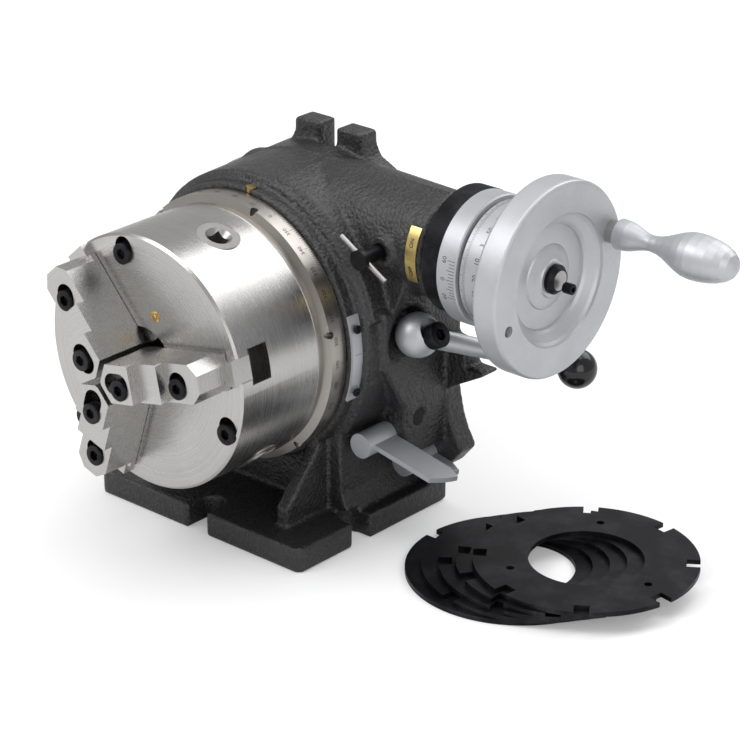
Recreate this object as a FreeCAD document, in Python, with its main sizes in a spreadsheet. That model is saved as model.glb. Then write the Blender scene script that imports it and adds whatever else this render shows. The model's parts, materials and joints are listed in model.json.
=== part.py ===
import FreeCAD, Part
import Sketcher
import math
import os
from FreeCAD import Placement, Rotation, Vector

doc = FreeCAD.newDocument("dividing_head")
sheet = doc.addObject("Spreadsheet::Sheet", "Sizes")


class Size:
    """A length that keeps its spreadsheet expression beside its present value."""

    def __init__(self, text, value):
        self.text, self.value = text, value

    def __add__(self, other):
        return Size(f"({self.text} + {text(other)})", self.value + number(other))

    def __radd__(self, other):
        return Size(f"({text(other)} + {self.text})", self.value + number(other))

    def __sub__(self, other):
        return Size(f"({self.text} - {text(other)})", self.value - number(other))

    def __rsub__(self, other):
        return Size(f"({text(other)} - {self.text})", number(other) - self.value)

    def __mul__(self, other):
        return Size(f"({self.text} * {text(other)})", self.value * number(other))

    __rmul__ = __mul__

    def __truediv__(self, other):
        return Size(f"({self.text} / {text(other)})", self.value / number(other))

    def __neg__(self):
        return Size(f"(-{self.text})", -self.value)


def text(size):
    return size.text if isinstance(size, Size) else f"({size})"


def number(size):
    return size.value if isinstance(size, Size) else float(size)


def cos(angle):
    return Size(f"cos({text(angle)})", math.cos(math.radians(number(angle))))


def sin(angle):
    return Size(f"sin({text(angle)})", math.sin(math.radians(number(angle))))


class Sheet:
    """Reads each attribute as the spreadsheet cell with that alias."""

    def add(self, sizes):
        for name, value in sizes.items():
            row = len(vars(self)) + 1
            sheet.set(f"A{row}", name)
            sheet.set(f"B{row}", str(value))
            sheet.setAlias(f"B{row}", name)
            setattr(self, name, Size(f"Sizes.{name}", float(value)))


s = Sheet()

# Whole head: spindle along Y with the chuck to -Y, worm along +X, base underside at Z = 0.
s.add({
    "axis_z": 128,
    "base_half": 87,
    "base_front": 61,
    "rear_y": 77.5,
    "base_thick": 16,
    "flange_thick": 15.5,
    "drum_front": 6,
    "drum_radius": 93.5,
    "drum_rear_radius": 96,
    "collar_radius": 88,
    "collar_front": 15.2,
    "slot_width": 16,
    "front_slot_deep": 22,
    "side_slot_deep": 19,
    "side_slot_y": -4,
    "corner_round": 7,
    "lug_top": 235,
    "lug_half": 27.5,
    "lug_slot": 14,
    "lug_slot_deep": 21,
    "pedestal_half": 72,
    "wing_half": 97,
    "wing_under": 50,
    "rib_half": 61,
    "rib_thick": 9,
    "rib_reach": 38,
    "key_width": 16,
    "key_deep": 3.5,
    "shoulder_up": 3.5,
    "shoulder_back": 3.5,
    "shoulder_start": 12,
    "shoulder_end": 80,
})

# Fits between pieces.
s.add({
    "run": 0.03,
    "gap": 0.5,
    "loose": 0.3,
    "tooth_gap": 0.35,
})

# Spindle and what turns with it.
s.add({
    "spindle_bore": 13,
    "nose_radius": 30,
    "front_journal": 42,
    "wheel_seat": 31,
    "rear_journal": 28,
    "thread_radius": 26,
    "front_bush_wall": 7,
    "rear_bush_wall": 6,
    "front_bush_y": -12,
    "front_bush_long": 23,
    "rear_bush_y": 53,
    "rear_bush_long": 13,
    "spindle_end": 75.5,
    "seal_thick": 2.4,
    "table_rear": -15.7,
    "table_wide": 14.3,
    "table_nose": 4.7,
    "table_radius": 84.8,
    "table_face_radius": 79.5,
    "rim_hole": 2.3,
    "rim_hole_deep": 6,
    "rim_hole_back": 11.5,
    "wheel_y": 42,
    "wheel_wide": 14,
    "wheel_teeth": 90,
    "tooth_size": 1.2,
    "notches": 24,
    "index_y": 14,
    "index_thick": 6,
    "index_radius": 68.5,
    "notch_deep": 6.5,
    "notch_half": 3.2,
    "mask_notch_deep": 8.5,
    "mask_notch_half": 4.6,
    "mask_thick": 3,
    "mask_hole": 35,
    "chamber_clear": 1.5,
    "mask_screw_circle": 48,
    "mask_screw": 2.5,
    "nut_radius": 38,
    "nut_long": 5,
    "cover_thick": 4.5,
    "cover_radius": 58,
    "cover_hole": 28,
    "cover_screw_circle": 50,
    "cover_screw": 3,
})

# Three jaw scroll chuck.
s.add({
    "chuck_radius": 80,
    "chuck_front": -100.5,
    "chuck_rear": -35,
    "chuck_bore": 23,
    "back_thick": 14,
    "jaw_angle": 12,
    "slot_half": 7.6,
    "tee_half": 11,
    "tee_front": 9.5,
    "tee_deep": 14.5,
    "chuck_cavity": 64,
    "chuck_hub": 27,
    "scroll_outer": 62,
    "scroll_front": 28.8,
    "scroll_web": 4.7,
    "scroll_pitch": 8,
    "scroll_ridge": 3.4,
    "scroll_tall": 4.3,
    "scroll_first": 30,
    "scroll_turns": 3.75,
    "pinion_radius": 13.2,
    "pinion_y": -60.7,
    "pinion_square": 5,
    "pinion_mouth": 8.6,
    "pinion_neck": 63,
    "pinion_inner": 46,
    "pinion_nose": 5.6,
    "jaw_half": 12,
    "jaw_low": 27,
    "jaw_middle": 33,
    "jaw_high": 39,
    "jaw_step_in": 28,
    "jaw_step_out": 46,
    "jaw_inner": 3,
    "jaw_outer": 73,
    "jaw_point": 1.2,
    "jaw_chamfer": 6.6,
    "jaw_slot_long": 5.5,
    "master_up": 4.5,
    "master_start": 9,
    "master_tee_outer": 50,
    "jaw_travel": 14,
    "jaw_bolt_in": 19,
    "jaw_bolt_out": 56,
    "jaw_bolt": 4,
    "jaw_head": 6.5,
    "jaw_head_tall": 7,
    "face_bolt_circle": 71.3,
    "face_bolt": 4,
    "face_head": 6.6,
    "face_head_deep": 8.5,
    "oiler_circle": 33.8,
    "oiler_angle": 73,
    "oiler_radius": 3.6,
})

# Worm, its eccentric sleeve, the vernier, the dial and the handwheel.
s.add({
    "worm_z": 191,
    "eccentric": 3.5,
    "sleeve_radius": 20,
    "sleeve_left": -46,
    "sleeve_bore": 12,
    "tube_end": 121,
    "tube_waist": 40,
    "tube_swell": 2,
    "tube_radius": 33,
    "tube_left_radius": 24,
    "tube_left": -50,
    "worm_turns": 9,
    "worm_pitch_radius": 9,
    "shaft_radius": 7,
    "bush_long": 16,
    "flange_left": 122,
    "flange_wide": 17,
    "flange_radius": 39.5,
    "vernier_left": 139.4,
    "vernier_wide": 14.4,
    "vernier_radius": 40.8,
    "dial_left": 154.4,
    "dial_wide": 26,
    "dial_radius": 38,
    "dial_bore": 20,
    "wheel_front": 199.6,
    "rim_wide": 17.6,
    "rim_radius": 59.8,
    "rim_thick": 7,
    "dish_radius": 40.6,
    "dish_deep": 9.6,
    "dish_slope": 9,
    "hub_foot": 20,
    "rim_edge": 2.2,
    "web_thick": 6,
    "hub_radius": 11,
    "hub_front": 194.5,
    "stub_radius": 6,
    "hub_nut_radius": 9,
    "hub_nut_tall": 5,
    "hub_screw": 3.3,
    "handle_circle": 50.2,
    "handle_angle": 20,
    "pin_radius": 4,
    "spacer_radius": 7,
    "grip_start": 205.2,
    "grip_flange": 8,
    "grip_waist": 4.9,
    "grip_belly": 14,
    "grip_long": 84,
    "wheel_tapped": 3.4,
})

# Index plunger, ball lever, clamp levers and lock screw.
s.add({
    "plunger_angle": -6.5,
    "plunger_radius": 3.1,
    "plunger_head": 4.5,
    "plunger_long": 16,
    "lever_tilt": 28,
    "ball_x": 103.7,
    "ball_y": 28,
    "ball_z": 134.2,
    "ball_radius": 14,
    "lever_reach": 104,
    "lever_rod": 6,
    "knob_radius": 12.5,
    "lever_shaft": 5,
    "lever_screw": 8,
    "clamp_x": 82,
    "clamp_z": 63,
    "clamp_front": 0,
    "clamp_wall": 25,
    "clamp_hub": 8,
    "clamp_long": 52,
    "clamp_wide": 20,
    "clamp_thick": 3.2,
    "clamp_arch": 9,
    "blade_set": 4.5,
    "clamp_shaft": 5,
    "second_x": 84,
    "second_z": 38,
    "second_front": 43,
    "lock_x": 91.5,
    "lock_front": -12.5,
    "lock_disc": 6.3,
    "lock_disc_thick": 3,
    "lock_shank": 4.6,
    "tommy_radius": 1.6,
    "tommy_long": 40,
    "tommy_back": 4.6,
    "tommy_angle": -30,
    "blade_drop": 11,
    "pointer_thick": 1.6,
    "pointer_seat": 0.6,
    "pointer_screw": 2.6,
    "pointer_screw_tall": 2.1,
    "rim_oiler_radius": 3.2,
    "rim_oiler_angle": 87,
    "second_long": 20,
})

# Rear flange's ears and feet, the oil plug and the two plates.
s.add({
    "foot_low": 28,
    "foot_high": 56,
    "foot_out": 111,
    "ear_low": 85,
    "ear_mid": 108,
    "ear_out": 130,
    "ear_top": 165,
    "ear_slot_x": 122,
    "ear_slot_wide": 18,
    "ear_slot_low": 103.5,
    "ear_slot_tall": 10,
    "plug_radius": 5,
    "plug_deep": 10,
    "plug_y": 38,
    "plug_z": 74,
    "plate_thick": 0.8,
    "name_plate_y": 30,
    "name_plate_wide": 24,
    "housing_plate_wide": 8,
    "cover_screw_deep": 8,
    "window_left": -40,
    "window_long": 80,
})

# Loose masks lying in a fanned stack beside the head.
s.add({
    "stack_x": 220,
    "stack_y": 49,
    "stack_step_x": -9.5,
    "stack_step_y": -4.5,
})
doc.recompute()

# Angles in degrees that no length depends on.
COVER_SCREW_START = 45
POINTER_TOP = 17
POINTER_ARC = 36
POINTER_SCREWS = (12, -14)
NAME_PLATE_START = 122
NAME_PLATE_ARC = 20
HOUSING_PLATE_START = 235
HOUSING_PLATE_ARC = 60
SLEEVE_OPEN = -75
SLEEVE_WINDOW = 210
LEVER_AIM = Vector(0.597, 0.749, -0.286)  # the ball lever's rod, from its ball to its knob

UP = Rotation()
ALONG_X = Rotation(Vector(0, 1, 0), 90)
ALONG_Y = Rotation(Vector(1, 0, 0), -90)


def about_y(angle):
    """Turn about the spindle direction, counter-clockwise as seen from the chuck's front."""
    return Rotation(Vector(0, 1, 0), -angle)


def place(piece, at=(0, 0, 0), turn=UP):
    piece.Placement = Placement(Vector(), turn)
    for letter, where in zip("xyz", at):
        piece.setExpression(f"Placement.Base.{letter}", text(where))
    return piece


def primitive(kind, name, at, turn, **sizes):
    piece = doc.addObject(kind, name)
    for prop, size in sizes.items():
        piece.setExpression(prop, text(size))
    return place(piece, at, turn)


def block(name, size, at, turn=UP):
    return primitive("Part::Box", name, at, turn, Length=size[0], Width=size[1], Height=size[2])


def rod(name, radius, long, at=(0, 0, 0), turn=UP):
    return primitive("Part::Cylinder", name, at, turn, Radius=radius, Height=long)


def sector(name, radius, long, angle, at, turn):
    return primitive("Part::Cylinder", name, at, turn, Radius=radius, Height=long, Angle=angle)


def cone(name, start, end, long, at=(0, 0, 0), turn=UP):
    return primitive("Part::Cone", name, at, turn, Radius1=start, Radius2=end, Height=long)


def ball(name, radius, at):
    return primitive("Part::Sphere", name, at, UP, Radius=radius)


def join(name, *pieces):
    piece = doc.addObject("Part::MultiFuse", name)
    piece.Shapes = list(pieces)
    return piece


def cut(name, base, *tools):
    piece = doc.addObject("Part::Cut", name)
    piece.Base = base
    piece.Tool = tools[0] if len(tools) == 1 else join(name + "_tools", *tools)
    return piece


def shared(name, first, second):
    piece = doc.addObject("Part::MultiCommon", name)
    piece.Shapes = [first, second]
    return piece


def outline(body, name, plane_role, corners):
    """A closed sketch whose corners are held to the origin by dimensions from the sheet."""
    sketch = body.newObject("Sketcher::SketchObject", name)
    plane = next(f for f in body.Origin.OriginFeatures if f.Role == plane_role)
    sketch.AttachmentSupport = (plane, [""])
    sketch.MapMode = "FlatFace"
    points = [Vector(number(x), number(y), 0) for x, y in corners]
    count = len(points)
    lines = [Part.LineSegment(points[i], points[(i + 1) % count]) for i in range(count)]
    sketch.addGeometry(lines, False)
    for i in range(count):
        sketch.addConstraint(Sketcher.Constraint("Coincident", i, 2, (i + 1) % count, 1))
    for i, (x, y) in enumerate(corners):
        for kind, on_axis, size, prefix in (("DistanceX", -2, x, "x"), ("DistanceY", -1, y, "y")):
            if number(size) == 0:
                sketch.addConstraint(Sketcher.Constraint("PointOnObject", i, 1, on_axis))
                continue
            row = sketch.addConstraint(Sketcher.Constraint(kind, -1, 1, i, 1, number(size)))
            sketch.renameConstraint(row, f"{prefix}{i}")
            sketch.setExpression(f"Constraints.{prefix}{i}", text(size))
    return sketch


def turned(name, corners, at=(0, 0, 0), turn=UP):
    """A piece turned on a lathe: corners are (radius, height) up its own Z axis."""
    body = doc.addObject("PartDesign::Body", name)
    sketch = outline(body, name + "_profile", "XZ_Plane", corners)
    lathe = body.newObject("PartDesign::Revolution", name + "_turned")
    lathe.Profile = sketch
    lathe.ReferenceAxis = (sketch, ["V_Axis"])
    lathe.Angle = 360
    return place(body, at, turn)


def quarter(centre, radius, start, end, steps=4):
    """Points round a corner of a profile, from one angle to another."""
    x, y = centre
    angles = [start + (end - start) * k / steps for k in range(steps + 1)]
    return [(x + radius * cos(angle), y + radius * sin(angle)) for angle in angles]


def flowing(stations, steps=4):
    """A profile that swells and narrows smoothly through (radius, height) stations."""
    points = [stations[0]]
    for (r0, h0), (r1, h1) in zip(stations, stations[1:]):
        for k in range(1, steps + 1):
            share = (1 - math.cos(math.pi * k / steps)) / 2
            points.append((r0 + (r1 - r0) * round(share, 4), h0 + (h1 - h0) * (k / steps)))
    return points


def slab(name, corners, thick, at=(0, 0, 0), turn=UP, rounding=None):
    """A flat piece: corners in its own XY plane, padded up Z, with its upright edges rounded."""
    body = doc.addObject("PartDesign::Body", name)
    sketch = outline(body, name + "_outline", "XY_Plane", corners)
    pad = body.newObject("PartDesign::Pad", name + "_pad")
    pad.Profile = sketch
    pad.setExpression("Length", text(thick))
    if rounding is not None:
        doc.recompute()
        upright = [
            f"Edge{i}" for i, edge in enumerate(pad.Shape.Edges, 1)
            if abs(edge.tangentAt(edge.FirstParameter).z) > 0.99
        ]
        fillet = body.newObject("PartDesign::Fillet", name + "_rounded")
        fillet.Base = (pad, upright)
        fillet.setExpression("Radius", text(rounding))
        body.Tip = fillet
    return place(body, at, turn)


def solid(name, make, at=(0, 0, 0), turn=UP):
    """A piece whose form no primitive gives: make() returns its shape from the sheet's values."""
    piece = doc.addObject("Part::Feature", name)
    piece.Shape = make()
    return place(piece, at, turn)


def polar(radius, angle, y):
    """A point at a radius and angle about the spindle axis."""
    return (radius * cos(angle), y, s.axis_z + radius * sin(angle))


def radial_turn(angle):
    """Turns a piece's own Z axis to point out from the spindle axis."""
    return about_y(number(angle)).multiply(ALONG_X)


def circle_of(name, count, radius, circle, start, y, long):
    """Equal round bars parallel to the spindle, evenly spaced on a circle."""
    bars = [
        rod(f"{name}_{i}", radius, long, polar(circle, start + 360 * i / count, y), ALONG_Y)
        for i in range(count)
    ]
    return join(name, *bars)


nodes = {}


def keep(name, piece):
    piece.Label = name
    nodes[name] = piece


# The XZ outlines stand upright: their own Z axis points to -Y.
UPRIGHT = Rotation(Vector(1, 0, 0), 90)


def mirror_x(corners):
    """A right-hand outline followed by its left-hand mirror image."""
    return corners + [(-x, z) for x, z in reversed(corners)]


def casting_solids():
    base = slab(
        "base_plate",
        [(-s.base_half, -s.base_front), (s.base_half, -s.base_front),
         (s.base_half, s.rear_y), (-s.base_half, s.rear_y)],
        s.base_thick, rounding=s.corner_round,
    )
    drum = turned(
        "drum",
        [(0, 0), (s.collar_radius, 0), (s.collar_radius, s.collar_front - s.drum_front),
         (s.drum_radius - 2, s.collar_front - s.drum_front),
         (s.drum_radius, s.collar_front - s.drum_front + 2),
         (s.drum_rear_radius, s.collar_front + s.rear_y), (0, s.collar_front + s.rear_y)],
        (0, -s.collar_front, s.axis_z), ALONG_Y,
    )
    ear = [
        (s.base_half, 0), (s.base_half, s.foot_low), (s.wing_half + 3, s.foot_low + 5),
        (s.foot_out, s.foot_high - 10), (s.foot_out - 6, s.foot_high), (s.wing_half + 4, s.foot_high + 10),
        (s.wing_half, s.ear_low), (s.ear_out - 4, s.ear_mid - 7), (s.ear_out, s.ear_mid),
        (s.ear_out - 3, s.ear_mid + 8), (s.wing_half, s.ear_mid + 11), (s.base_half + 1, s.ear_top),
    ]
    flange = slab(
        "rear_flange", mirror_x(ear), s.flange_thick, (0, s.rear_y, 0), UPRIGHT, rounding=2.5,
    )
    lug = slab(
        "top_lug",
        mirror_x([(s.lug_half + 12, s.axis_z + 78), (s.lug_half + 3, s.lug_top - 14),
                  (s.lug_half, s.lug_top - 8), (s.lug_half, s.lug_top)]),
        s.flange_thick, (0, s.rear_y, 0), UPRIGHT, rounding=2.5,
    )
    pedestal = slab(
        "pedestal",
        mirror_x([(s.pedestal_half + 6, s.base_thick - 1), (s.pedestal_half, s.base_thick + 12),
                  (s.pedestal_half - 2, s.axis_z - 40), (s.pedestal_half + 8, s.axis_z)]),
        s.rear_y + s.drum_front, (0, s.rear_y, 0), UPRIGHT,
    )
    return [base, drum, flange, lug, pedestal] + wings() + ribs() + worm_housing()


def wings():
    side = [
        (s.clamp_wall, s.wing_under), (s.rear_y - 1, s.wing_under), (s.rear_y - 1, s.axis_z + 24),
        (s.drum_front, s.axis_z + 24), (s.drum_front, s.axis_z - 14), (s.clamp_wall, s.axis_z - 46),
    ]
    turn = Rotation(Vector(1, 1, 1), 120)
    reach = s.wing_half - s.pedestal_half + 20
    right = slab("right_wing", side, reach, (s.wing_half - reach, 0, 0), turn)
    left = slab("left_wing", side, reach, (-s.wing_half, 0, 0), turn)
    return [right, left]


def ribs():
    side = [
        (-s.drum_front - s.rib_reach, s.base_thick - 1), (0, s.base_thick - 1),
        (0, s.axis_z - 62), (-s.drum_front - 4, s.axis_z - 62),
        (-s.drum_front - s.rib_reach, s.base_thick + 12),
    ]
    turn = Rotation(Vector(1, 1, 1), 120)
    right = slab("right_rib", side, s.rib_thick, (s.rib_half - s.rib_thick, 0, 0), turn)
    left = slab("left_rib", side, s.rib_thick, (-s.rib_half, 0, 0), turn)
    return [right, left]


def worm_housing():
    tube = turned(
        "worm_tube",
        [(0, 0), (s.tube_left_radius - 6, 0), (s.tube_left_radius, 6),
         (s.tube_radius + s.tube_swell, s.tube_waist - s.tube_left),
         (s.tube_radius, s.tube_end - s.tube_left - 3),
         (s.tube_radius - 3, s.tube_end - s.tube_left), (0, s.tube_end - s.tube_left)],
        (s.tube_left, s.wheel_y, s.worm_z), ALONG_X,
    )
    web = slab(
        "housing_web",
        [(-60, s.axis_z), (s.wing_half, s.axis_z), (s.wing_half, s.axis_z + 22),
         (s.wing_half + 8, s.worm_z - 24), (s.wing_half + 8, s.worm_z), (-30, s.worm_z)],
        s.rear_y - s.wheel_y + s.tube_radius - 4, (0, s.rear_y, 0), UPRIGHT,
    )
    boss = rod(
        "lock_boss", s.lock_shank + 5, s.wheel_y - 10, (s.lock_x, 6, s.worm_z), ALONG_Y,
    )
    lever_boss = rod("lever_boss", s.ball_radius - 2, 40, lever_point(-54), LEVER_TURN)
    shoulder = sector(
        "worm_shoulder", s.drum_radius + s.shoulder_up, s.wheel_y, s.shoulder_end - s.shoulder_start,
        (0, -s.drum_front + s.shoulder_back, s.axis_z),
        about_y(s.shoulder_end.value).multiply(ALONG_Y))
    return [tube, web, boss, lever_boss, shoulder]


# The ball lever's shaft leans up from the horizontal, out of the casting's right side.
LEVER_TURN = Rotation(Vector(0, 1, 0), 90 - s.lever_tilt.value)


def lever_point(along):
    return (
        s.ball_x + along * cos(s.lever_tilt), s.ball_y, s.ball_z + along * sin(s.lever_tilt),
    )


def slot(name, start, end, width, low, tall):
    """An open-ended slot with a round inner end, cut upright through the base."""
    (ax, ay), (bx, by) = start, end
    along_x = abs(number(ax) - number(bx)) > abs(number(ay) - number(by))
    round_end = rod(name + "_round", width / 2, tall, (ax, ay, low))
    if along_x:
        right = number(bx) > number(ax)
        corner = (ax if right else bx, ay - width / 2, low)
        size = (bx - ax if right else ax - bx, width, tall)
    else:
        corner = (ax - width / 2, by, low)
        size = (width, ay - by, tall)
    return join(name, round_end, block(name + "_straight", size, corner))


rim_oiler_y = -(s.collar_front + s.drum_front) / 2 - 1


def casting_cuts():
    out = s.base_half + 1
    inner = s.base_half - s.side_slot_deep + s.slot_width / 2
    front_inner = -s.base_front + s.front_slot_deep - s.slot_width / 2
    tall = s.base_thick + 2
    cuts = [
        slot("front_slot", (Size("0", 0.0), front_inner), (Size("0", 0.0), -s.base_front - 1),
             s.slot_width, -1, tall),
        slot("right_slot", (inner, s.side_slot_y), (out, s.side_slot_y), s.slot_width, -1, tall),
        slot("left_slot", (-inner, s.side_slot_y), (-out, s.side_slot_y), s.slot_width, -1, tall),
        block("base_key_way", (s.key_width, s.base_front + s.rear_y + 2, s.key_deep + 1),
              (-s.key_width / 2, -s.base_front - 1, -1)),
        block("lug_slot_cut", (s.lug_slot, s.flange_thick + 4, s.lug_slot_deep + 1),
              (-s.lug_slot / 2, s.rear_y - s.flange_thick - 2, s.lug_top - s.lug_slot_deep)),
    ]
    for side in (-1, 1):
        cuts.append(block(
            f"ear_slot_{side + 1}", (s.ear_slot_wide, s.flange_thick + 4, s.ear_slot_tall),
            (side * s.ear_slot_x - s.ear_slot_wide / 2, s.rear_y - s.flange_thick - 2,
             s.ear_slot_low)))
    cuts += [
        rod("front_bush_seat", s.front_journal + s.front_bush_wall, 60,
            (0, -s.collar_front - 1, s.axis_z), ALONG_Y),
        rod("index_chamber", s.index_radius + s.chamber_clear,
            s.index_thick + s.mask_thick + 2 * s.chamber_clear,
            (0, s.index_y - s.chamber_clear, s.axis_z), ALONG_Y),
        rod("wheel_chamber", s.wheel_teeth * s.tooth_size / 2 + 4, s.wheel_wide + 4,
            (0, s.wheel_y - s.wheel_wide / 2 - 2, s.axis_z), ALONG_Y),
        rod("rear_bush_seat", s.rear_journal + s.rear_bush_wall, 60,
            (0, s.wheel_y, s.axis_z), ALONG_Y),
        rod("nut_chamber", s.nut_radius + 2, 20,
            (0, s.rear_bush_y + s.rear_bush_long, s.axis_z), ALONG_Y),
        rod("rear_cover_seat", s.cover_radius, s.cover_thick + 2,
            (0, s.rear_y - s.cover_thick - 0.5, s.axis_z), ALONG_Y),
        rod("sleeve_bore", s.sleeve_radius + s.run, s.tube_end - s.sleeve_left + 3,
            (s.sleeve_left - 1, s.wheel_y + s.eccentric, s.worm_z), ALONG_X),
        rod("lock_hole", s.lock_shank + s.run, 60, (s.lock_x, -10, s.worm_z), ALONG_Y),
        rod("clamp_hole", s.clamp_shaft + s.run, 22,
            (s.clamp_x, s.clamp_wall - 1, s.clamp_z), ALONG_Y),
        rod("second_hole", s.clamp_shaft + s.run, 12,
            (s.second_x, s.rear_y - s.flange_thick - 1, s.second_z), ALONG_Y),
        rod("lever_hole", s.lever_shaft + s.run, 36, lever_point(-36), LEVER_TURN),
        rod("ball_clearance", s.ball_radius + 4, 40, lever_point(-s.ball_radius + 0.5), LEVER_TURN),
        rod("plunger_hole", s.plunger_head + s.run, s.plunger_long + 12,
            polar(s.index_radius - 2, s.plunger_angle, plunger_y), PLUNGER_TURN),
        rod("plug_hole", s.plug_radius, s.plug_deep + 2,
            (s.wing_half - s.plug_deep, s.plug_y, s.plug_z), ALONG_X),
        circle_of("cover_screw_holes", 4, s.cover_screw, s.cover_screw_circle, COVER_SCREW_START,
                  cover_y - s.cover_screw_deep, s.cover_screw_deep + 1),
        rod("rim_oiler_seat", s.rim_oiler_radius, 8,
            polar(s.collar_radius - 4, s.rim_oiler_angle, rim_oiler_y),
            radial_turn(s.rim_oiler_angle)),
    ]
    return cuts


PLUNGER_TURN = Rotation(Vector(0, 1, 0), 90 - s.plunger_angle.value)
plunger_y = s.index_y + (s.index_thick + s.mask_thick) / 2
cover_y = s.rear_y - s.cover_thick - s.gap

keep("body_casting", cut("casting", join("casting_solid", *casting_solids()), *casting_cuts()))


def radial_block(name, start, long, y, deep, half, angle):
    """A block that points out from the spindle axis at an angle, centred on its radius."""
    at = (
        start * cos(angle) + half * sin(angle), y,
        s.axis_z + start * sin(angle) - half * cos(angle),
    )
    return block(name, (long, deep, 2 * half), at, about_y(number(angle)))


def ring(name, outer, inner, thick, y):
    return turned(
        name, [(inner, 0), (outer, 0), (outer, thick), (inner, thick)],
        (0, y, s.axis_z), ALONG_Y,
    )


def notched(name, count, thick, deep, half, at, turn):
    """A flat ring with notches in its rim and screw holes near its bore."""
    plate = turned(
        name + "_plate",
        [(s.mask_hole + s.run, 0), (s.index_radius, 0), (s.index_radius, thick),
         (s.mask_hole + s.run, thick)],
    )
    tools = []
    for i in range(count):
        angle = 360 * i / count
        reach = s.index_radius - deep
        tools.append(block(
            f"{name}_notch_{i}", (deep + 1, 2 * half, thick + 2),
            (reach * cos(angle) + half * sin(angle), reach * sin(angle) - half * cos(angle), -1),
            Rotation(Vector(0, 0, 1), angle),
        ))
    for i in range(3):
        angle = 120 * i + 37
        tools.append(rod(
            f"{name}_hole_{i}", s.mask_screw, thick + 2,
            (s.mask_screw_circle * cos(angle), s.mask_screw_circle * sin(angle), -1),
        ))
    return place(cut(name, plate, *tools), at, turn)


# Bearings, seal and covers fixed in the casting.
keep("front_bush", ring(
    "front_bush_ring", s.front_journal + s.front_bush_wall, s.front_journal + s.run,
    s.front_bush_long, s.front_bush_y))
keep("oil_seal", ring(
    "oil_seal_ring", s.front_journal + s.front_bush_wall, s.front_journal + s.loose,
    s.seal_thick, s.front_bush_y - s.seal_thick))
keep("rear_bush", ring(
    "rear_bush_ring", s.rear_journal + s.rear_bush_wall, s.rear_journal + s.run,
    s.rear_bush_long, s.rear_bush_y))
cover_long = s.cover_thick + 2
keep("rear_cover", cut(
    "rear_cover_cut",
    ring("rear_cover_disc", s.cover_radius, s.cover_hole, s.cover_thick, cover_y),
    circle_of("rear_cover_holes", 4, s.cover_screw, s.cover_screw_circle, COVER_SCREW_START,
              cover_y - 1, s.cover_thick + 2)))


def cover_screw(index):
    return rod(f"cover_shank_{index}", s.cover_screw, s.cover_thick + s.cover_screw_deep,
               polar(s.cover_screw_circle, COVER_SCREW_START + 90 * index,
                     cover_y - s.cover_screw_deep), ALONG_Y)


# Spindle.
def spindle_piece():
    start = s.table_rear - s.table_wide - 2
    steps = [
        (s.nose_radius, s.table_rear), (s.front_journal, s.index_y - s.chamber_clear - 1),
        (s.mask_hole, s.index_y + s.index_thick + s.mask_thick + 1),
        (s.wheel_seat, s.wheel_y + s.wheel_wide / 2), (s.rear_journal, s.rear_bush_y + s.rear_bush_long),
        (s.thread_radius, s.spindle_end),
    ]
    corners = [(s.spindle_bore, 0)]
    height = 0
    for radius, end in steps:
        corners += [(radius, height), (radius, end - start)]
        height = end - start
    corners.append((s.spindle_bore, s.spindle_end - start))
    return turned("spindle_bar", corners, (0, start, s.axis_z), ALONG_Y)


keep("spindle", spindle_piece())


def table_piece():
    front = s.table_rear - s.table_wide - s.table_nose
    disc = turned(
        "table_disc",
        [(s.nose_radius + s.run, 0), (s.table_face_radius - 0.8, 0), (s.table_face_radius, 0.8),
         (s.table_face_radius, s.table_nose), (s.table_radius, s.table_nose + 1.8),
         (s.table_radius, s.table_nose + s.table_wide), (s.nose_radius + s.run,
         s.table_nose + s.table_wide)],
        (0, front, s.axis_z), ALONG_Y,
    )
    bolt_holes = circle_of(
        "table_holes", 3, s.face_bolt, s.face_bolt_circle, s.jaw_angle + 90, front - 1, 18)
    rim_holes = [
        rod(f"table_rim_hole_{n}", s.rim_hole, 12,
            polar(s.table_radius - s.rim_hole_deep, angle, s.table_rear - s.rim_hole_back),
            radial_turn(angle))
        for n, angle in enumerate((12, 75, 132, 192, 255, 312))
    ]
    return cut("table_drilled", disc, bolt_holes, *rim_holes)


keep("graduated_table", table_piece())
index_turn = about_y(s.plunger_angle.value).multiply(ALONG_Y)
keep("index_ring", notched(
    "index_ring_cut", int(s.notches.value), s.index_thick, s.notch_deep, s.notch_half,
    (0, s.index_y, s.axis_z), index_turn))
keep("fitted_mask", notched(
    "fitted_mask_cut", 4, s.mask_thick, s.mask_notch_deep, s.mask_notch_half,
    (0, s.index_y + s.index_thick, s.axis_z), index_turn))
keep("spindle_nut", cut(
    "spindle_nut_cut",
    ring("spindle_nut_ring", s.nut_radius, s.thread_radius, s.nut_long,
         s.rear_bush_y + s.rear_bush_long + s.loose),
    *[radial_block(f"nut_slot_{i}", s.nut_radius - 4, 6, s.rear_bush_y, 30, 3, 90 * i)
      for i in range(4)]))


def tooth_wire(pitch_radius, count, twist, height):
    """One end of the worm wheel: trapezoid teeth round the pitch circle, turned by a twist."""
    add, low = s.tooth_size.value, 1.25 * s.tooth_size.value
    thick = math.pi * s.tooth_size.value / 2 - s.tooth_gap.value
    slope = 2 * math.tan(math.radians(20))
    points = []
    for i in range(count):
        centre = 2 * math.pi * i / count + twist
        for radius, side in ((-low, -1), (add, -1), (add, 1), (-low, 1)):
            half = (thick - slope * radius) / 2 / pitch_radius
            angle = centre + side * half
            reach = pitch_radius + radius
            points.append(Vector(reach * math.cos(angle), reach * math.sin(angle), height))
    return Part.makePolygon(points + points[:1])


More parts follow.
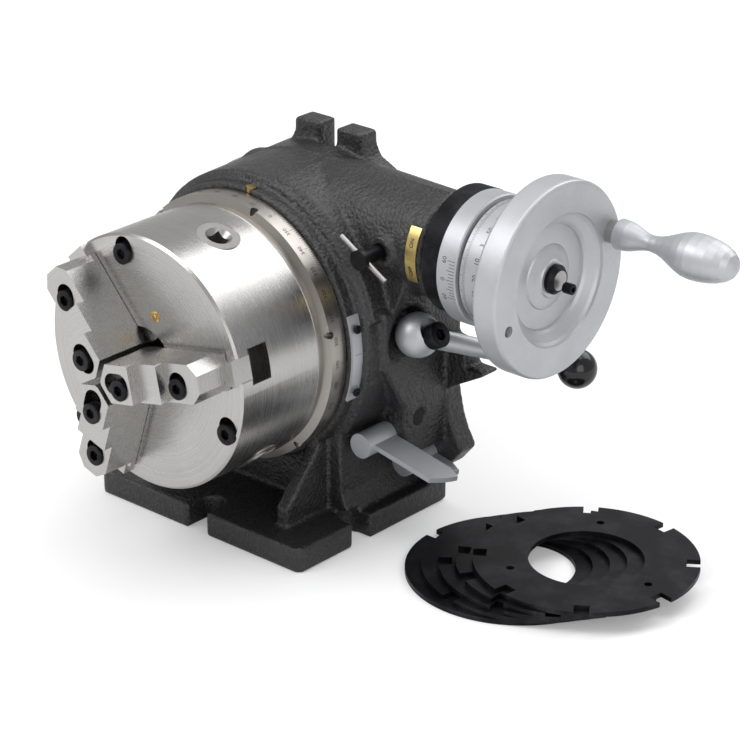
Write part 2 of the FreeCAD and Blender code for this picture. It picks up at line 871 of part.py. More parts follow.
def worm_wheel_shape():
    count = int(s.wheel_teeth.value)
    radius = count * s.tooth_size.value / 2
    wide = s.wheel_wide.value
    lead = s.tooth_size.value / 2 / s.worm_pitch_radius.value
    twist = wide / 2 * lead / radius
    phase = math.pi / count
    ends = [tooth_wire(radius, count, phase - twist, 0), tooth_wire(radius, count, phase + twist, wide)]
    gear = Part.makeLoft(ends, True, True)
    return gear.cut(Part.makeCylinder(s.wheel_seat.value, wide + 2, Vector(0, 0, -1)))


keep("worm_wheel", solid(
    "worm_wheel_gear", worm_wheel_shape, (0, s.wheel_y - s.wheel_wide / 2, s.axis_z), ALONG_Y))

# Chuck.
CHUCK_COPIES = range(3)


def jaw_at(index):
    return s.jaw_angle + 120 * index


def chuck_body_piece():
    long = s.chuck_rear - s.chuck_front
    floor = s.tee_front + s.tee_deep + 0.2
    shell = turned(
        "chuck_shell",
        [(s.chuck_bore, 0), (s.chuck_radius - 1.5, 0), (s.chuck_radius, 1.5), (s.chuck_radius, long),
         (s.chuck_cavity, long), (s.chuck_cavity, floor), (s.chuck_hub, floor),
         (s.chuck_hub, long - s.back_thick), (s.chuck_bore, long - s.back_thick)],
        (0, s.chuck_front, s.axis_z), ALONG_Y,
    )
    tools = [
        rod("chuck_oiler_hole", s.oiler_radius, 4,
            polar(s.oiler_circle, s.oiler_angle, s.chuck_front - 1), ALONG_Y),
        circle_of("face_holes", 3, s.face_bolt + s.loose, s.face_bolt_circle, s.jaw_angle + 90,
                  s.chuck_front - 1, 70),
        circle_of("face_counterbores", 3, s.face_head + s.loose, s.face_bolt_circle,
                  s.jaw_angle + 90, s.chuck_front - 1, s.face_head_deep + 1),
    ]
    for i in CHUCK_COPIES:
        tools += [
            radial_block(f"slot_neck_{i}", 0, s.chuck_radius + 1, s.chuck_front - 1,
                         s.tee_front + 2, s.slot_half, jaw_at(i)),
            radial_block(f"slot_tee_{i}", 0, s.chuck_radius + 1, s.chuck_front + s.tee_front,
                         s.tee_deep + 1, s.tee_half, jaw_at(i)),
            rod(f"pinion_seat_{i}", s.pinion_radius + s.run, s.chuck_radius + 2 - s.pinion_neck + 3,
                polar(s.pinion_neck - 3, jaw_at(i) + 60, s.pinion_y), radial_turn(jaw_at(i) + 60)),
        ]
    return cut("chuck_cut", shell, *tools)


keep("chuck_body", chuck_body_piece())
keep("chuck_back", cut(
    "chuck_back_cut",
    ring("chuck_back_disc", s.chuck_cavity, s.chuck_bore, s.back_thick, s.chuck_rear - s.back_thick),
    *[rod(f"pinion_relief_{i}", s.pinion_nose + 2, 40,
          polar(s.pinion_inner - 4, jaw_at(i) + 60, s.pinion_y), radial_turn(jaw_at(i) + 60))
      for i in CHUCK_COPIES],
    *[rod(f"pinion_head_relief_{i}", s.pinion_radius + s.loose, 10,
          polar(s.scroll_outer, jaw_at(i) + 60, s.pinion_y), radial_turn(jaw_at(i) + 60))
      for i in CHUCK_COPIES]))


def face_bolt(index):
    angle = s.jaw_angle + 90 + 120 * index
    top = s.chuck_front + 1
    return join(
        f"face_bolt_{index}",
        rod(f"face_bolt_head_{index}", s.face_head, s.face_head_deep - 1,
            polar(s.face_bolt_circle, angle, top), ALONG_Y),
        rod(f"face_bolt_shank_{index}", s.face_bolt, s.table_rear - 4 - s.chuck_front,
            polar(s.face_bolt_circle, angle, top), ALONG_Y),
    )


keep("chuck_bolts", join("chuck_bolt_set", *[face_bolt(i) for i in CHUCK_COPIES]))
keep("chuck_oiler", rod(
    "chuck_oiler_cup", s.oiler_radius, 3.2,
    polar(s.oiler_circle, s.oiler_angle, s.chuck_front - 0.2), ALONG_Y))


def spiral_radius(turn):
    return s.scroll_first.value + s.scroll_pitch.value * turn


def spiral_arcs(offset):
    """One side of the spiral ridge as short arcs, eight to a turn."""
    count = int(s.scroll_turns.value * 8)
    points = []
    for i in range(2 * count + 1):
        turn = i / 16
        reach = spiral_radius(turn) + offset
        angle = 2 * math.pi * turn
        points.append(Vector(reach * math.cos(angle), reach * math.sin(angle), 0))
    return [
        Part.Arc(points[2 * i], points[2 * i + 1], points[2 * i + 2]).toShape()
        for i in range(count)
    ]


def scroll_shape():
    """A flat ring with a spiral ridge standing on its front face."""
    web = s.scroll_web.value
    ring_shape = Part.makeCylinder(s.scroll_outer.value, web).cut(
        Part.makeCylinder(s.chuck_hub.value + s.run.value, web + 2, Vector(0, 0, -1)))
    inner = spiral_arcs(-s.scroll_ridge.value / 2)
    outer = spiral_arcs(s.scroll_ridge.value / 2)
    ends = [
        Part.makeLine(inner[k].valueAt(inner[k].LastParameter if k else inner[k].FirstParameter),
                      outer[k].valueAt(outer[k].LastParameter if k else outer[k].FirstParameter))
        for k in (0, -1)
    ]
    wire = Part.Wire(Part.__sortEdges__(inner + outer + ends))
    ridge = Part.Face(wire).extrude(Vector(0, 0, -s.scroll_tall.value))
    return ring_shape.fuse(ridge)


keep("scroll", solid(
    "scroll_plate", scroll_shape, (0, s.chuck_front + s.scroll_front, s.axis_z), ALONG_Y))


def pinion_piece(index):
    angle = jaw_at(index) + 60
    long = s.chuck_radius - s.pinion_inner - 0.4
    bar = turned(
        f"pinion_bar_{index}",
        [(0, 0), (s.pinion_nose - 1.2, 0), (s.pinion_nose, s.scroll_outer + s.loose - s.pinion_inner),
         (s.pinion_radius - 2, s.pinion_neck - s.pinion_inner),
         (s.pinion_radius, s.pinion_neck + 2 - s.pinion_inner), (s.pinion_radius, long), (0, long)],
        polar(s.pinion_inner, angle, s.pinion_y), radial_turn(angle),
    )
    square = radial_block(
        f"pinion_square_{index}", s.chuck_radius - 14, 15, s.pinion_y - s.pinion_square,
        2 * s.pinion_square, s.pinion_square, angle)
    mouth = cone(
        f"pinion_mouth_{index}", s.pinion_square, s.pinion_mouth, s.pinion_mouth - s.pinion_square,
        polar(s.chuck_radius - s.pinion_mouth + s.pinion_square, angle, s.pinion_y),
        radial_turn(angle))
    return cut(f"pinion_cut_{index}", bar, square, mouth)


for i in CHUCK_COPIES:
    keep(f"pinion_{i + 1}", pinion_piece(i))


def jaw_outline(end, chamfer):
    """A top jaw's step seen from the front, from its pointed tip out along its radius."""
    half = s.jaw_half
    tip = s.jaw_point
    side = [
        (s.jaw_inner, -tip), (s.jaw_inner + (half - tip) / math.tan(math.radians(60)), -half),
        (end - chamfer, -half), (end, -half + chamfer),
    ]
    return side + [(x, -y) for x, y in reversed(side)]


def jaw_turn(index):
    """Own X out along the jaw's radius, own Z forward out of the chuck."""
    return about_y(number(jaw_at(index))).multiply(UPRIGHT)


def teeth_shape(index):
    """Curved teeth under a jaw that stand in the grooves between the scroll's ridges."""
    angle = math.radians(number(jaw_at(index)))
    groove = s.scroll_pitch.value - s.scroll_ridge.value
    thick = groove - 1.2
    tall = s.scroll_tall.value - 0.4
    # The jaw's radius passes the spiral, seen from behind, at this share of a turn.
    share = (-angle / (2 * math.pi)) % 1
    teeth = []
    for n in range(-1, 4):
        middle = spiral_radius(n + share) + s.scroll_pitch.value / 2
        inside = s.chuck_cavity.value - s.jaw_travel.value - thick / 2 - 0.4
        if not s.chuck_hub.value + thick / 2 + 2 < middle < inside:
            continue
        band = Part.makeCylinder(middle + thick / 2, tall).cut(
            Part.makeCylinder(middle - thick / 2, tall))
        half = s.tee_half.value - 4
        strip = Part.makeBox(90, 2 * half, tall, Vector(0, -half, 0))
        teeth.append(band.common(strip))
    return teeth[0].multiFuse(teeth[1:]) if len(teeth) > 1 else teeth[0]


def master_jaw_piece(index):
    angle = jaw_at(index)
    top = s.chuck_front - s.master_up
    start = s.master_start
    neck = radial_block(
        f"master_neck_{index}", start, s.chuck_radius - start - 1, top,
        s.master_up + s.tee_front + 1, s.slot_half - s.run, angle)
    head = radial_block(
        f"master_head_{index}", start, s.chuck_radius - start - 9, top,
        s.master_up - s.loose, s.tee_half, angle)
    tee = radial_block(
        f"master_tee_{index}", start, s.master_tee_outer - start,
        s.chuck_front + s.tee_front + s.run, s.tee_deep - 2 * s.run, s.tee_half - s.run, angle)
    teeth = solid(
        f"master_teeth_{index}", lambda: teeth_shape(index),
        (0, s.chuck_front + s.tee_front + s.tee_deep + s.scroll_tall - 0.5, s.axis_z), jaw_turn(index))
    holes = [
        rod(f"master_hole_{index}_{k}", s.jaw_bolt, 20, polar(reach, angle, top - 1), ALONG_Y)
        for k, reach in enumerate((s.jaw_bolt_in, s.jaw_bolt_out))
    ]
    return cut(f"master_{index}", join(f"master_solid_{index}", neck, head, tee, teeth), *holes)


def bolt_tops(index):
    """Where the two bolts of a jaw are, and the height of each head's seat."""
    return (
        (s.jaw_bolt_in, s.jaw_high - s.jaw_head_tall - 2),
        (s.jaw_bolt_out, s.jaw_low - s.jaw_head_tall - 2),
    )


def top_jaw_piece(index):
    angle = jaw_at(index)
    foot = s.chuck_front - s.master_up
    steps = [
        slab(f"jaw_{name}_{index}", jaw_outline(end, chamfer), height - s.master_up,
             (0, foot, s.axis_z), jaw_turn(index))
        for name, end, chamfer, height in (
            ("low", s.jaw_outer, s.jaw_chamfer, s.jaw_low),
            ("middle", s.jaw_step_out, 0.6, s.jaw_middle),
            ("high", s.jaw_step_in, 0.6, s.jaw_high),
        )
    ]
    inner_seat = s.chuck_front - s.jaw_high + s.jaw_head_tall + 2
    tools = [
        rod(f"jaw_slot_{index}", s.jaw_head + s.loose, 40,
            polar(s.jaw_bolt_in - s.jaw_slot_long, angle, inner_seat - 40), ALONG_Y),
        radial_block(f"jaw_slot_side_{index}", s.jaw_bolt_in - s.jaw_slot_long, s.jaw_slot_long,
                     inner_seat - 40, 40, s.jaw_head + s.loose, angle),
    ]
    for k, (reach, seat) in enumerate(bolt_tops(index)):
        tools += [
            rod(f"jaw_hole_{index}_{k}", s.jaw_bolt, 60,
                polar(reach, angle, foot - 50), ALONG_Y),
            rod(f"jaw_counterbore_{index}_{k}", s.jaw_head + s.loose, 40,
                polar(reach, angle, s.chuck_front - seat - 40), ALONG_Y),
        ]
    return cut(f"top_jaw_{index}", join(f"top_jaw_solid_{index}", *steps), *tools)


def jaw_bolt_pair(index):
    bars = []
    for k, (reach, seat) in enumerate(bolt_tops(index)):
        spot = polar(reach, jaw_at(index), s.chuck_front - seat - s.jaw_head_tall)
        bars.append(join(
            f"jaw_bolt_{index}_{k}",
            rod(f"jaw_bolt_head_{index}_{k}", s.jaw_head, s.jaw_head_tall, spot, ALONG_Y),
            rod(f"jaw_bolt_shank_{index}_{k}", s.jaw_bolt, s.jaw_head_tall + seat + 8, spot, ALONG_Y),
        ))
    return join(f"jaw_bolt_set_{index}", *bars)


for i in CHUCK_COPIES:
    keep(f"master_jaw_{i + 1}", master_jaw_piece(i))
    keep(f"top_jaw_{i + 1}", top_jaw_piece(i))
    keep(f"jaw_bolts_{i + 1}", jaw_bolt_pair(i))

# Small pieces on the casting.
keep("cover_screws", join("cover_screw_set", *[cover_screw(i) for i in range(4)]))
pointer_turn = about_y(POINTER_TOP).multiply(ALONG_Y)
pointer_wide = s.collar_front - s.drum_front - 0.6
pointer_screw_y = -(s.collar_front + s.drum_front) / 2


def pointer_screw(name, angle):
    return rod(name, s.pointer_screw, s.pointer_screw_tall,
               polar(s.collar_radius + s.pointer_thick - s.pointer_seat, angle, pointer_screw_y),
               radial_turn(angle))


def pointer_piece():
    outer = sector("pointer_outer", s.collar_radius + s.pointer_thick, pointer_wide, POINTER_ARC,
                   (0, -s.collar_front + 0.3, s.axis_z), pointer_turn)
    inner = rod("pointer_inner", s.collar_radius, 30, (0, -s.collar_front - 5, s.axis_z), ALONG_Y)
    seats = [pointer_screw(f"pointer_seat_{n}", a) for n, a in enumerate(POINTER_SCREWS)]
    return cut("pointer_curve", outer, inner, *seats)


keep("pointer_plate", pointer_piece())
keep("pointer_screws", join("pointer_screw_set", *[
    cut(f"pointer_screw_cut_{n}",
        pointer_screw(f"pointer_screw_{n}", angle),
        rod(f"pointer_screw_socket_{n}", s.pointer_screw * 0.4, 2,
            polar(s.collar_radius + s.pointer_thick + 0.5, angle, pointer_screw_y),
            radial_turn(angle)))
    for n, angle in enumerate(POINTER_SCREWS)]))
keep("oil_plug", rod(
    "oil_plug_bar", s.plug_radius, s.plug_deep - 0.8,
    (s.wing_half - s.plug_deep, s.plug_y, s.plug_z), ALONG_X))


def drum_at(y):
    """The drum's radius at a place along the spindle: it widens towards the rear face."""
    share = (y + s.drum_front - 2) / (s.rear_y + s.drum_front - 2)
    return s.drum_radius + (s.drum_rear_radius - s.drum_radius) * share


def name_plate_piece():
    front, rear = drum_at(s.name_plate_y), drum_at(s.name_plate_y + s.name_plate_wide)
    band = turned(
        "name_plate_band",
        [(front, 0), (front + s.plate_thick, 0), (rear + s.plate_thick, s.name_plate_wide),
         (rear, s.name_plate_wide)],
        (0, s.name_plate_y, s.axis_z), ALONG_Y)
    wedge = sector("name_plate_wedge", s.drum_rear_radius + 5, s.name_plate_wide + 2,
                   NAME_PLATE_ARC, (0, s.name_plate_y - 1, s.axis_z),
                   about_y(NAME_PLATE_START + NAME_PLATE_ARC).multiply(ALONG_Y))
    return shared("name_plate_curve", band, wedge)


keep("name_plate", name_plate_piece())
keep("rim_oiler", rod("rim_oiler_cup", s.rim_oiler_radius, 4.3, polar(
    s.collar_radius - 4, s.rim_oiler_angle, rim_oiler_y), radial_turn(s.rim_oiler_angle)))
# The plate on the housing lies on the tube's taper, so both its faces follow that line.
plate_left = s.tube_end - 3 - s.housing_plate_wide
plate_low = s.tube_radius + s.housing_plate_wide * s.tube_swell / (s.tube_end - 3 - s.tube_waist)


def housing_plate_piece():
    band = turned(
        "housing_plate_band",
        [(plate_low, 0), (plate_low + s.plate_thick, 0), (s.tube_radius + s.plate_thick, s.housing_plate_wide),
         (s.tube_radius, s.housing_plate_wide)],
        (plate_left, s.wheel_y, s.worm_z), ALONG_X)
    turn = ALONG_X.multiply(Rotation(Vector(0, 0, 1), HOUSING_PLATE_START))
    wedge = sector("housing_plate_wedge", s.tube_radius + 5, s.housing_plate_wide + 2,
                   HOUSING_PLATE_ARC, (plate_left - 1, s.wheel_y, s.worm_z), turn)
    return shared("housing_plate_curve", band, wedge)


keep("housing_plate", housing_plate_piece())

# Eccentric sleeve and the pieces fixed to it.
sleeve_y = s.wheel_y + s.eccentric
sleeve_end = s.vernier_left + s.vernier_wide


def sleeve_piece():
    barrel = rod("sleeve_barrel", s.sleeve_radius, s.flange_left - s.sleeve_left,
                 (s.sleeve_left, sleeve_y, s.worm_z), ALONG_X)
    flange = turned(
        "sleeve_flange",
        [(0, 0), (s.flange_radius - 2.5, 0), (s.flange_radius, 2.5),
         (s.flange_radius, s.flange_wide - 1.5), (s.flange_radius - 1.5, s.flange_wide),
         (0, s.flange_wide)],
        (s.flange_left, sleeve_y, s.worm_z), ALONG_X,
    )
    seat = rod("sleeve_seat", s.dial_bore + 4, sleeve_end - s.flange_left - s.flange_wide + 1,
               (s.flange_left + s.flange_wide - 1, s.wheel_y, s.worm_z), ALONG_X)
    bore = rod("sleeve_through", s.sleeve_bore, 260, (s.sleeve_left - 2, s.wheel_y, s.worm_z), ALONG_X)
    turn = ALONG_X.multiply(Rotation(Vector(0, 0, 1), SLEEVE_OPEN))
    window = sector("sleeve_window", s.sleeve_radius + 1, s.window_long, SLEEVE_WINDOW,
                    (s.window_left, sleeve_y, s.worm_z), turn)
    return cut("sleeve_cut", join("sleeve_solid", barrel, flange, seat), bore, window)


keep("eccentric_sleeve", sleeve_piece())
keep("vernier_ring", turned(
    "vernier_band",
    [(s.dial_bore + 4, 0), (s.vernier_radius - 0.8, 0), (s.vernier_radius, 0.8),
     (s.vernier_radius, s.vernier_wide - 0.8), (s.vernier_radius - 0.8, s.vernier_wide),
     (s.dial_bore + 4, s.vernier_wide)],
    (s.vernier_left, s.wheel_y, s.worm_z), ALONG_X))
for side, left in (("inner", s.sleeve_left + 1), ("outer", s.flange_left - 20)):
    keep(f"worm_bush_{side}", turned(
        f"worm_bush_{side}_ring",
        [(s.shaft_radius + s.run, 0), (s.sleeve_bore, 0), (s.sleeve_bore, s.bush_long),
         (s.shaft_radius + s.run, s.bush_long)],
        (left, s.wheel_y, s.worm_z), ALONG_X))


def worm_shape():
    """The worm's shaft with its single-start thread, along its own Z from its left end."""
    module = s.tooth_size.value
    pitch = math.pi * module
    long = pitch * s.worm_turns.value
    middle = long / 2
    low = s.worm_pitch_radius.value - 1.25 * module
    high = s.worm_pitch_radius.value + module
    thick = pitch / 2 - 0.1
    half = thick / 2
    slope = math.tan(math.radians(20))
    lift = low - 0.2
    foot = half + slope * (s.worm_pitch_radius.value - lift)
    top = half - slope * module
    corners = [
        Vector(lift, 0, -foot), Vector(high, 0, -top), Vector(high, 0, top), Vector(lift, 0, foot),
    ]
    helix = Part.makeHelix(pitch, long, s.worm_pitch_radius.value)
    sweep = Part.BRepOffsetAPI.MakePipeShell(Part.Wire(helix.Edges))
    sweep.setFrenetMode(True)
    sweep.add(Part.makePolygon(corners + corners[:1]))
    sweep.build()
    sweep.makeSolid()
    thread = sweep.shape()
    thread.translate(Vector(0, 0, -middle))
    core = Part.makeCylinder(low, long + pitch, Vector(0, 0, -middle - pitch / 2))
    return core.fuse(thread)


hub_start = s.dial_left + 1
worm_thread = solid("worm_thread", worm_shape, (0, s.wheel_y, s.worm_z), ALONG_X)
keep("worm_shaft", join(
    "worm_shaft_solid", worm_thread,
    rod("worm_journal", s.shaft_radius, hub_start - s.sleeve_left - 1,
        (s.sleeve_left + 1, s.wheel_y, s.worm_z), ALONG_X),
    rod("worm_stub", s.stub_radius, s.hub_front + s.hub_nut_tall - hub_start + 1,
        (hub_start - 1, s.wheel_y, s.worm_z), ALONG_X)))


def handwheel_piece():
    front = s.wheel_front - hub_start
    back = front - s.rim_wide
    web = front - s.dish_deep
    rim = s.rim_radius
    edge = s.rim_edge
    inside = rim - s.rim_thick
    profile = [
        (s.stub_radius, 0), (s.dial_bore - 0.1, 0), (s.dial_bore - 0.1, web - s.web_thick),
        *quarter((inside - edge, web - s.web_thick - edge), edge, 90, 0),
        (inside, back),
        *quarter((rim - edge, back + edge), edge, -90, 0),
        *quarter((rim - edge, front - edge), edge, 0, 90),
        *flowing([(s.dish_radius, front), (s.dish_radius - s.dish_slope, web)], 6),
        *flowing([(s.hub_foot, web), (s.hub_radius, s.hub_front - hub_start)], 5),
        (s.stub_radius, s.hub_front - hub_start),
    ]
    wheel = turned("handwheel_turned", profile, (hub_start, s.wheel_y, s.worm_z), ALONG_X)
    tapped = rod("handwheel_tapped", s.wheel_tapped, 40,
                 rim_point(180 + s.handle_angle, s.wheel_front - 30), ALONG_X)
    socket = rod("handwheel_pin_hole", s.pin_radius, 12,
                 rim_point(s.handle_angle, s.wheel_front - 11), ALONG_X)
    return cut("handwheel_cut", wheel, tapped, socket)


def rim_point(angle, x):
    """A point on the handle's circle, at an angle about the worm's axis from +Y towards +Z."""
    return (
        x, s.wheel_y + s.handle_circle * cos(angle), s.worm_z + s.handle_circle * sin(angle),
    )


keep("handwheel", handwheel_piece())
keep("hub_nut", turned(
    "hub_nut_dome",
    [(s.stub_radius, 0), (s.hub_nut_radius, 0), (s.hub_nut_radius, s.hub_nut_tall * 0.5),
     (s.hub_nut_radius - 2.2, s.hub_nut_tall), (s.stub_radius, s.hub_nut_tall)],
    (s.hub_front, s.wheel_y, s.worm_z), ALONG_X))
keep("hub_screw", rod(
    "hub_screw_bar", s.hub_screw, 6.5, (s.hub_front + s.hub_nut_tall, s.wheel_y, s.worm_z), ALONG_X))
keep("graduated_dial", turned(
    "dial_band",
    [(s.dial_bore, 0), (s.dial_radius - 0.8, 0), (s.dial_radius, 0.8),
     (s.dial_radius, s.dial_wide - 0.8), (s.dial_radius - 0.8, s.dial_wide),
     (s.dial_bore, s.dial_wide)],
    (s.dial_left, s.wheel_y, s.worm_z), ALONG_X))
keep("handle_pin", join(
    "handle_pin_solid",
    rod("handle_pin_bar", s.pin_radius, s.grip_long + 5,
        rim_point(s.handle_angle, s.wheel_front - 11), ALONG_X),
    rod("handle_pin_collar", s.spacer_radius, s.grip_start - s.wheel_front - 0.2,
        rim_point(s.handle_angle, s.wheel_front), ALONG_X)))


def quarter_oval(radius, start, end, steps=7):
    """A rounded nose from a radius at one height down to the axis at another."""
    points = []
    for k in range(1, steps + 1):
        share = k / steps
        points.append((
            radius * round(math.cos(math.radians(90 * share)) ** 0.8, 4) if k < steps else 0,
            start + (end - start) * round(math.sin(math.radians(90 * share)), 4),
        ))
    return points


def grip_piece():
    bore = s.pin_radius + s.run
    return turned(
        "grip_turned",
        [(bore, 0), (s.grip_flange, 0)]
        + flowing([
            (s.grip_flange + 1.4, 1.6), (s.grip_flange + 1.2, 5), (s.grip_waist, s.grip_long * 0.29),
            (s.grip_belly, s.grip_long * 0.66),
        ], 6)
        + quarter_oval(s.grip_belly, s.grip_long * 0.66, s.grip_long)
        + [(0, s.grip_long - 5.5), (bore, s.grip_long - 5.5)],
        rim_point(s.handle_angle, s.grip_start), ALONG_X,
    )


keep("handle_grip", grip_piece())

# Index plunger and its ball lever.
keep("plunger", turned(
    "plunger_bar",
    [(0, 0), (s.plunger_radius - 0.6, 0), (s.plunger_radius, 1.2), (s.plunger_radius, 7),
     (s.plunger_head, 7), (s.plunger_head, s.plunger_long + 4), (0, s.plunger_long + 4)],
    polar(s.index_radius + 1, s.plunger_angle, plunger_y), PLUNGER_TURN))
keep("lever_shaft", rod(
    "lever_shaft_bar", s.lever_shaft, 40, lever_point(-32), LEVER_TURN))


def lever_piece():
    reach = s.lever_reach - s.knob_radius + 1
    arm = turned(
        "lever_arm",
        [(0, 0), (s.lever_rod + 0.6, 0), (s.lever_rod - 1, reach), (0, reach)],
        (s.ball_x, s.ball_y, s.ball_z), Rotation(Vector(0, 0, 1), LEVER_AIM),
    )
    tools = [
        rod("lever_bore", s.lever_shaft, 60, lever_point(-30), LEVER_TURN),
        rod("lever_recess", s.lever_screw + 0.4, 20, lever_point(8), LEVER_TURN),
    ]
    return cut("lever_cut", join(
        "lever_solid", ball("lever_ball", s.ball_radius, (s.ball_x, s.ball_y, s.ball_z)), arm), *tools)


keep("ball_lever", lever_piece())
keep("lever_screw", rod("lever_screw_head", s.lever_screw, 8, lever_point(8), LEVER_TURN))


def knob_piece():
    spot = [
        where + s.lever_reach * share
        for where, share in zip((s.ball_x, s.ball_y, s.ball_z), LEVER_AIM)
    ]
    socket = turned(
        "knob_socket",
        [(0, 0), (s.lever_rod + 0.6, 0), (s.lever_rod - 1, s.lever_reach - s.knob_radius + 1),
         (0, s.lever_reach - s.knob_radius + 1)],
        (s.ball_x, s.ball_y, s.ball_z), Rotation(Vector(0, 0, 1), LEVER_AIM),
    )
    return cut("knob_cut", ball("knob_ball", s.knob_radius, spot), socket)


keep("lever_knob", knob_piece())


def clamp_piece(name, x, z, front, wall, blade):
    """A clamp lever: a round hub on a shaft along Y, with a flat blade out to +X."""
    deep = wall - front
    turn = Rotation(Vector(0, 1, 0), s.blade_drop.value)
    half = s.clamp_wide / 2
    arch = s.clamp_arch
    corners = [(0, -half), (blade, -half)]
    corners += [(blade + arch * sin(15 * k), half * (k / 3 - 1)) for k in range(1, 6)]
    corners += [(blade, half), (0, half)]
    strip = slab(
        name + "_strip", corners, s.clamp_thick, (x, front + s.blade_set + half, z), turn)
    return join(
        name + "_solid", strip,
        rod(name + "_hub", s.clamp_hub, deep, (x, front, z), ALONG_Y),
        rod(name + "_shaft", s.clamp_shaft, deep + 10, (x, front, z), ALONG_Y),
    )


keep("clamp_lever_front", clamp_piece(
    "clamp_front", s.clamp_x, s.clamp_z, s.clamp_front, s.clamp_wall, s.clamp_long))
rear_wall = s.rear_y - s.flange_thick
keep("clamp_lever_rear", clamp_piece(
    "clamp_rear", s.second_x, s.second_z, rear_wall - s.clamp_wall, rear_wall, s.second_long))

# Lock screw and its sliding bar.
lock_shank_long = s.wheel_y - s.sleeve_radius + s.eccentric - s.lock_front - 0.3
TOMMY_TURN = about_y(s.tommy_angle.value).multiply(ALONG_X)
tommy_spot = (
    s.lock_x - s.tommy_long / 2 * cos(s.tommy_angle), s.lock_front + s.tommy_back,
    s.worm_z - s.tommy_long / 2 * sin(s.tommy_angle),
)
keep("lock_screw", cut(
    "lock_screw_cut",
    join("lock_screw_solid",
         rod("lock_disc", s.lock_disc, s.lock_disc_thick, (s.lock_x, s.lock_front, s.worm_z), ALONG_Y),
         rod("lock_shank", s.lock_shank, lock_shank_long, (s.lock_x, s.lock_front, s.worm_z), ALONG_Y)),
    rod("tommy_hole", s.tommy_radius + s.run, s.tommy_long, tommy_spot, TOMMY_TURN)))
keep("tommy_bar", rod("tommy_bar_rod", s.tommy_radius, s.tommy_long, tommy_spot, TOMMY_TURN))

# Loose masks, each with the notches for one count of divisions.
for i, count in enumerate((2, 3, 6, 12, 8)):
    spot = (
        s.stack_x + (4 - i) * s.stack_step_x, s.stack_y + (4 - i) * s.stack_step_y, i * s.mask_thick,
    )
    keep(f"mask_plate_{i + 1}", notched(
        f"loose_mask_{i + 1}", count, s.mask_thick, s.mask_notch_deep, s.mask_notch_half,
        spot, Rotation(Vector(0, 0, 1), 20 * i)))

doc.recompute()
faults = [item.Name for item in doc.Objects if {"Invalid", "Error"} & set(item.State)]
for name, piece in nodes.items():
    if piece.Shape.isNull() or not piece.Shape.isValid() or not piece.Shape.Solids:
        faults.append(name)
if faults:
    raise RuntimeError(f"not built soundly: {faults}")
os.makedirs("parts", exist_ok=True)
for name, piece in nodes.items():
    piece.Shape.exportStep(f"parts/{name}.step")
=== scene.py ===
import bmesh
import bpy
import json
import math
from mathutils import Matrix, Vector


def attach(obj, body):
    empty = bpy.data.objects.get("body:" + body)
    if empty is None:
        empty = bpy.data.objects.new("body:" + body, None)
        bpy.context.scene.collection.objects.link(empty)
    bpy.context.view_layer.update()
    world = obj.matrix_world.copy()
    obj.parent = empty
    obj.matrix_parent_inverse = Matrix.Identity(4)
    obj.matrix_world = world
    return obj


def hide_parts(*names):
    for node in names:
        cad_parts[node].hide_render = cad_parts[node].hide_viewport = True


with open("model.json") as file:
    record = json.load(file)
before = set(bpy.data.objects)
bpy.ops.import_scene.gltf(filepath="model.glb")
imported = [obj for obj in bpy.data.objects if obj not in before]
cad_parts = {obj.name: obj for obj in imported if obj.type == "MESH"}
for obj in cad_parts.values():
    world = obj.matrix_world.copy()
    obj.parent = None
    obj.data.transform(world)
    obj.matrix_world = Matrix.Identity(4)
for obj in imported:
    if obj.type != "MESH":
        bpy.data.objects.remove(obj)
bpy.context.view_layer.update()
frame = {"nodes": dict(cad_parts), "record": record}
nodes = frame["nodes"]
print("solids loaded")

spindleZ = 0.128  # spindle axis above the table
wormAxis = Vector((0, 0.042, 0.191))


class Wire:  # a shader socket that takes part in sums
    def __init__(self, finish, socket):
        self.finish = finish
        self.socket = socket

    def math(self, operation, *others):
        values = dict(enumerate((self,) + others))
        return self.finish.add("ShaderNodeMath", {"operation": operation}, values)

    def flipped(self, operation, other):
        return self.finish.add("ShaderNodeMath", {"operation": operation}, {0: other, 1: self})

    def __add__(self, other):
        return self.math("ADD", other)

    __radd__ = __add__

    def __sub__(self, other):
        return self.math("SUBTRACT", other)

    def __rsub__(self, other):
        return self.flipped("SUBTRACT", other)

    def __mul__(self, other):
        return self.math("MULTIPLY", other)

    __rmul__ = __mul__

    def __truediv__(self, other):
        return self.math("DIVIDE", other)

    def __rtruediv__(self, other):
        return self.flipped("DIVIDE", other)

    def within(self, low, high):  # 0 below low, 1 above high
        return self.finish.add(
            "ShaderNodeMapRange", {"interpolation_type": "SMOOTHSTEP"},
            {"Value": self, "From Min": low, "From Max": high},
        )


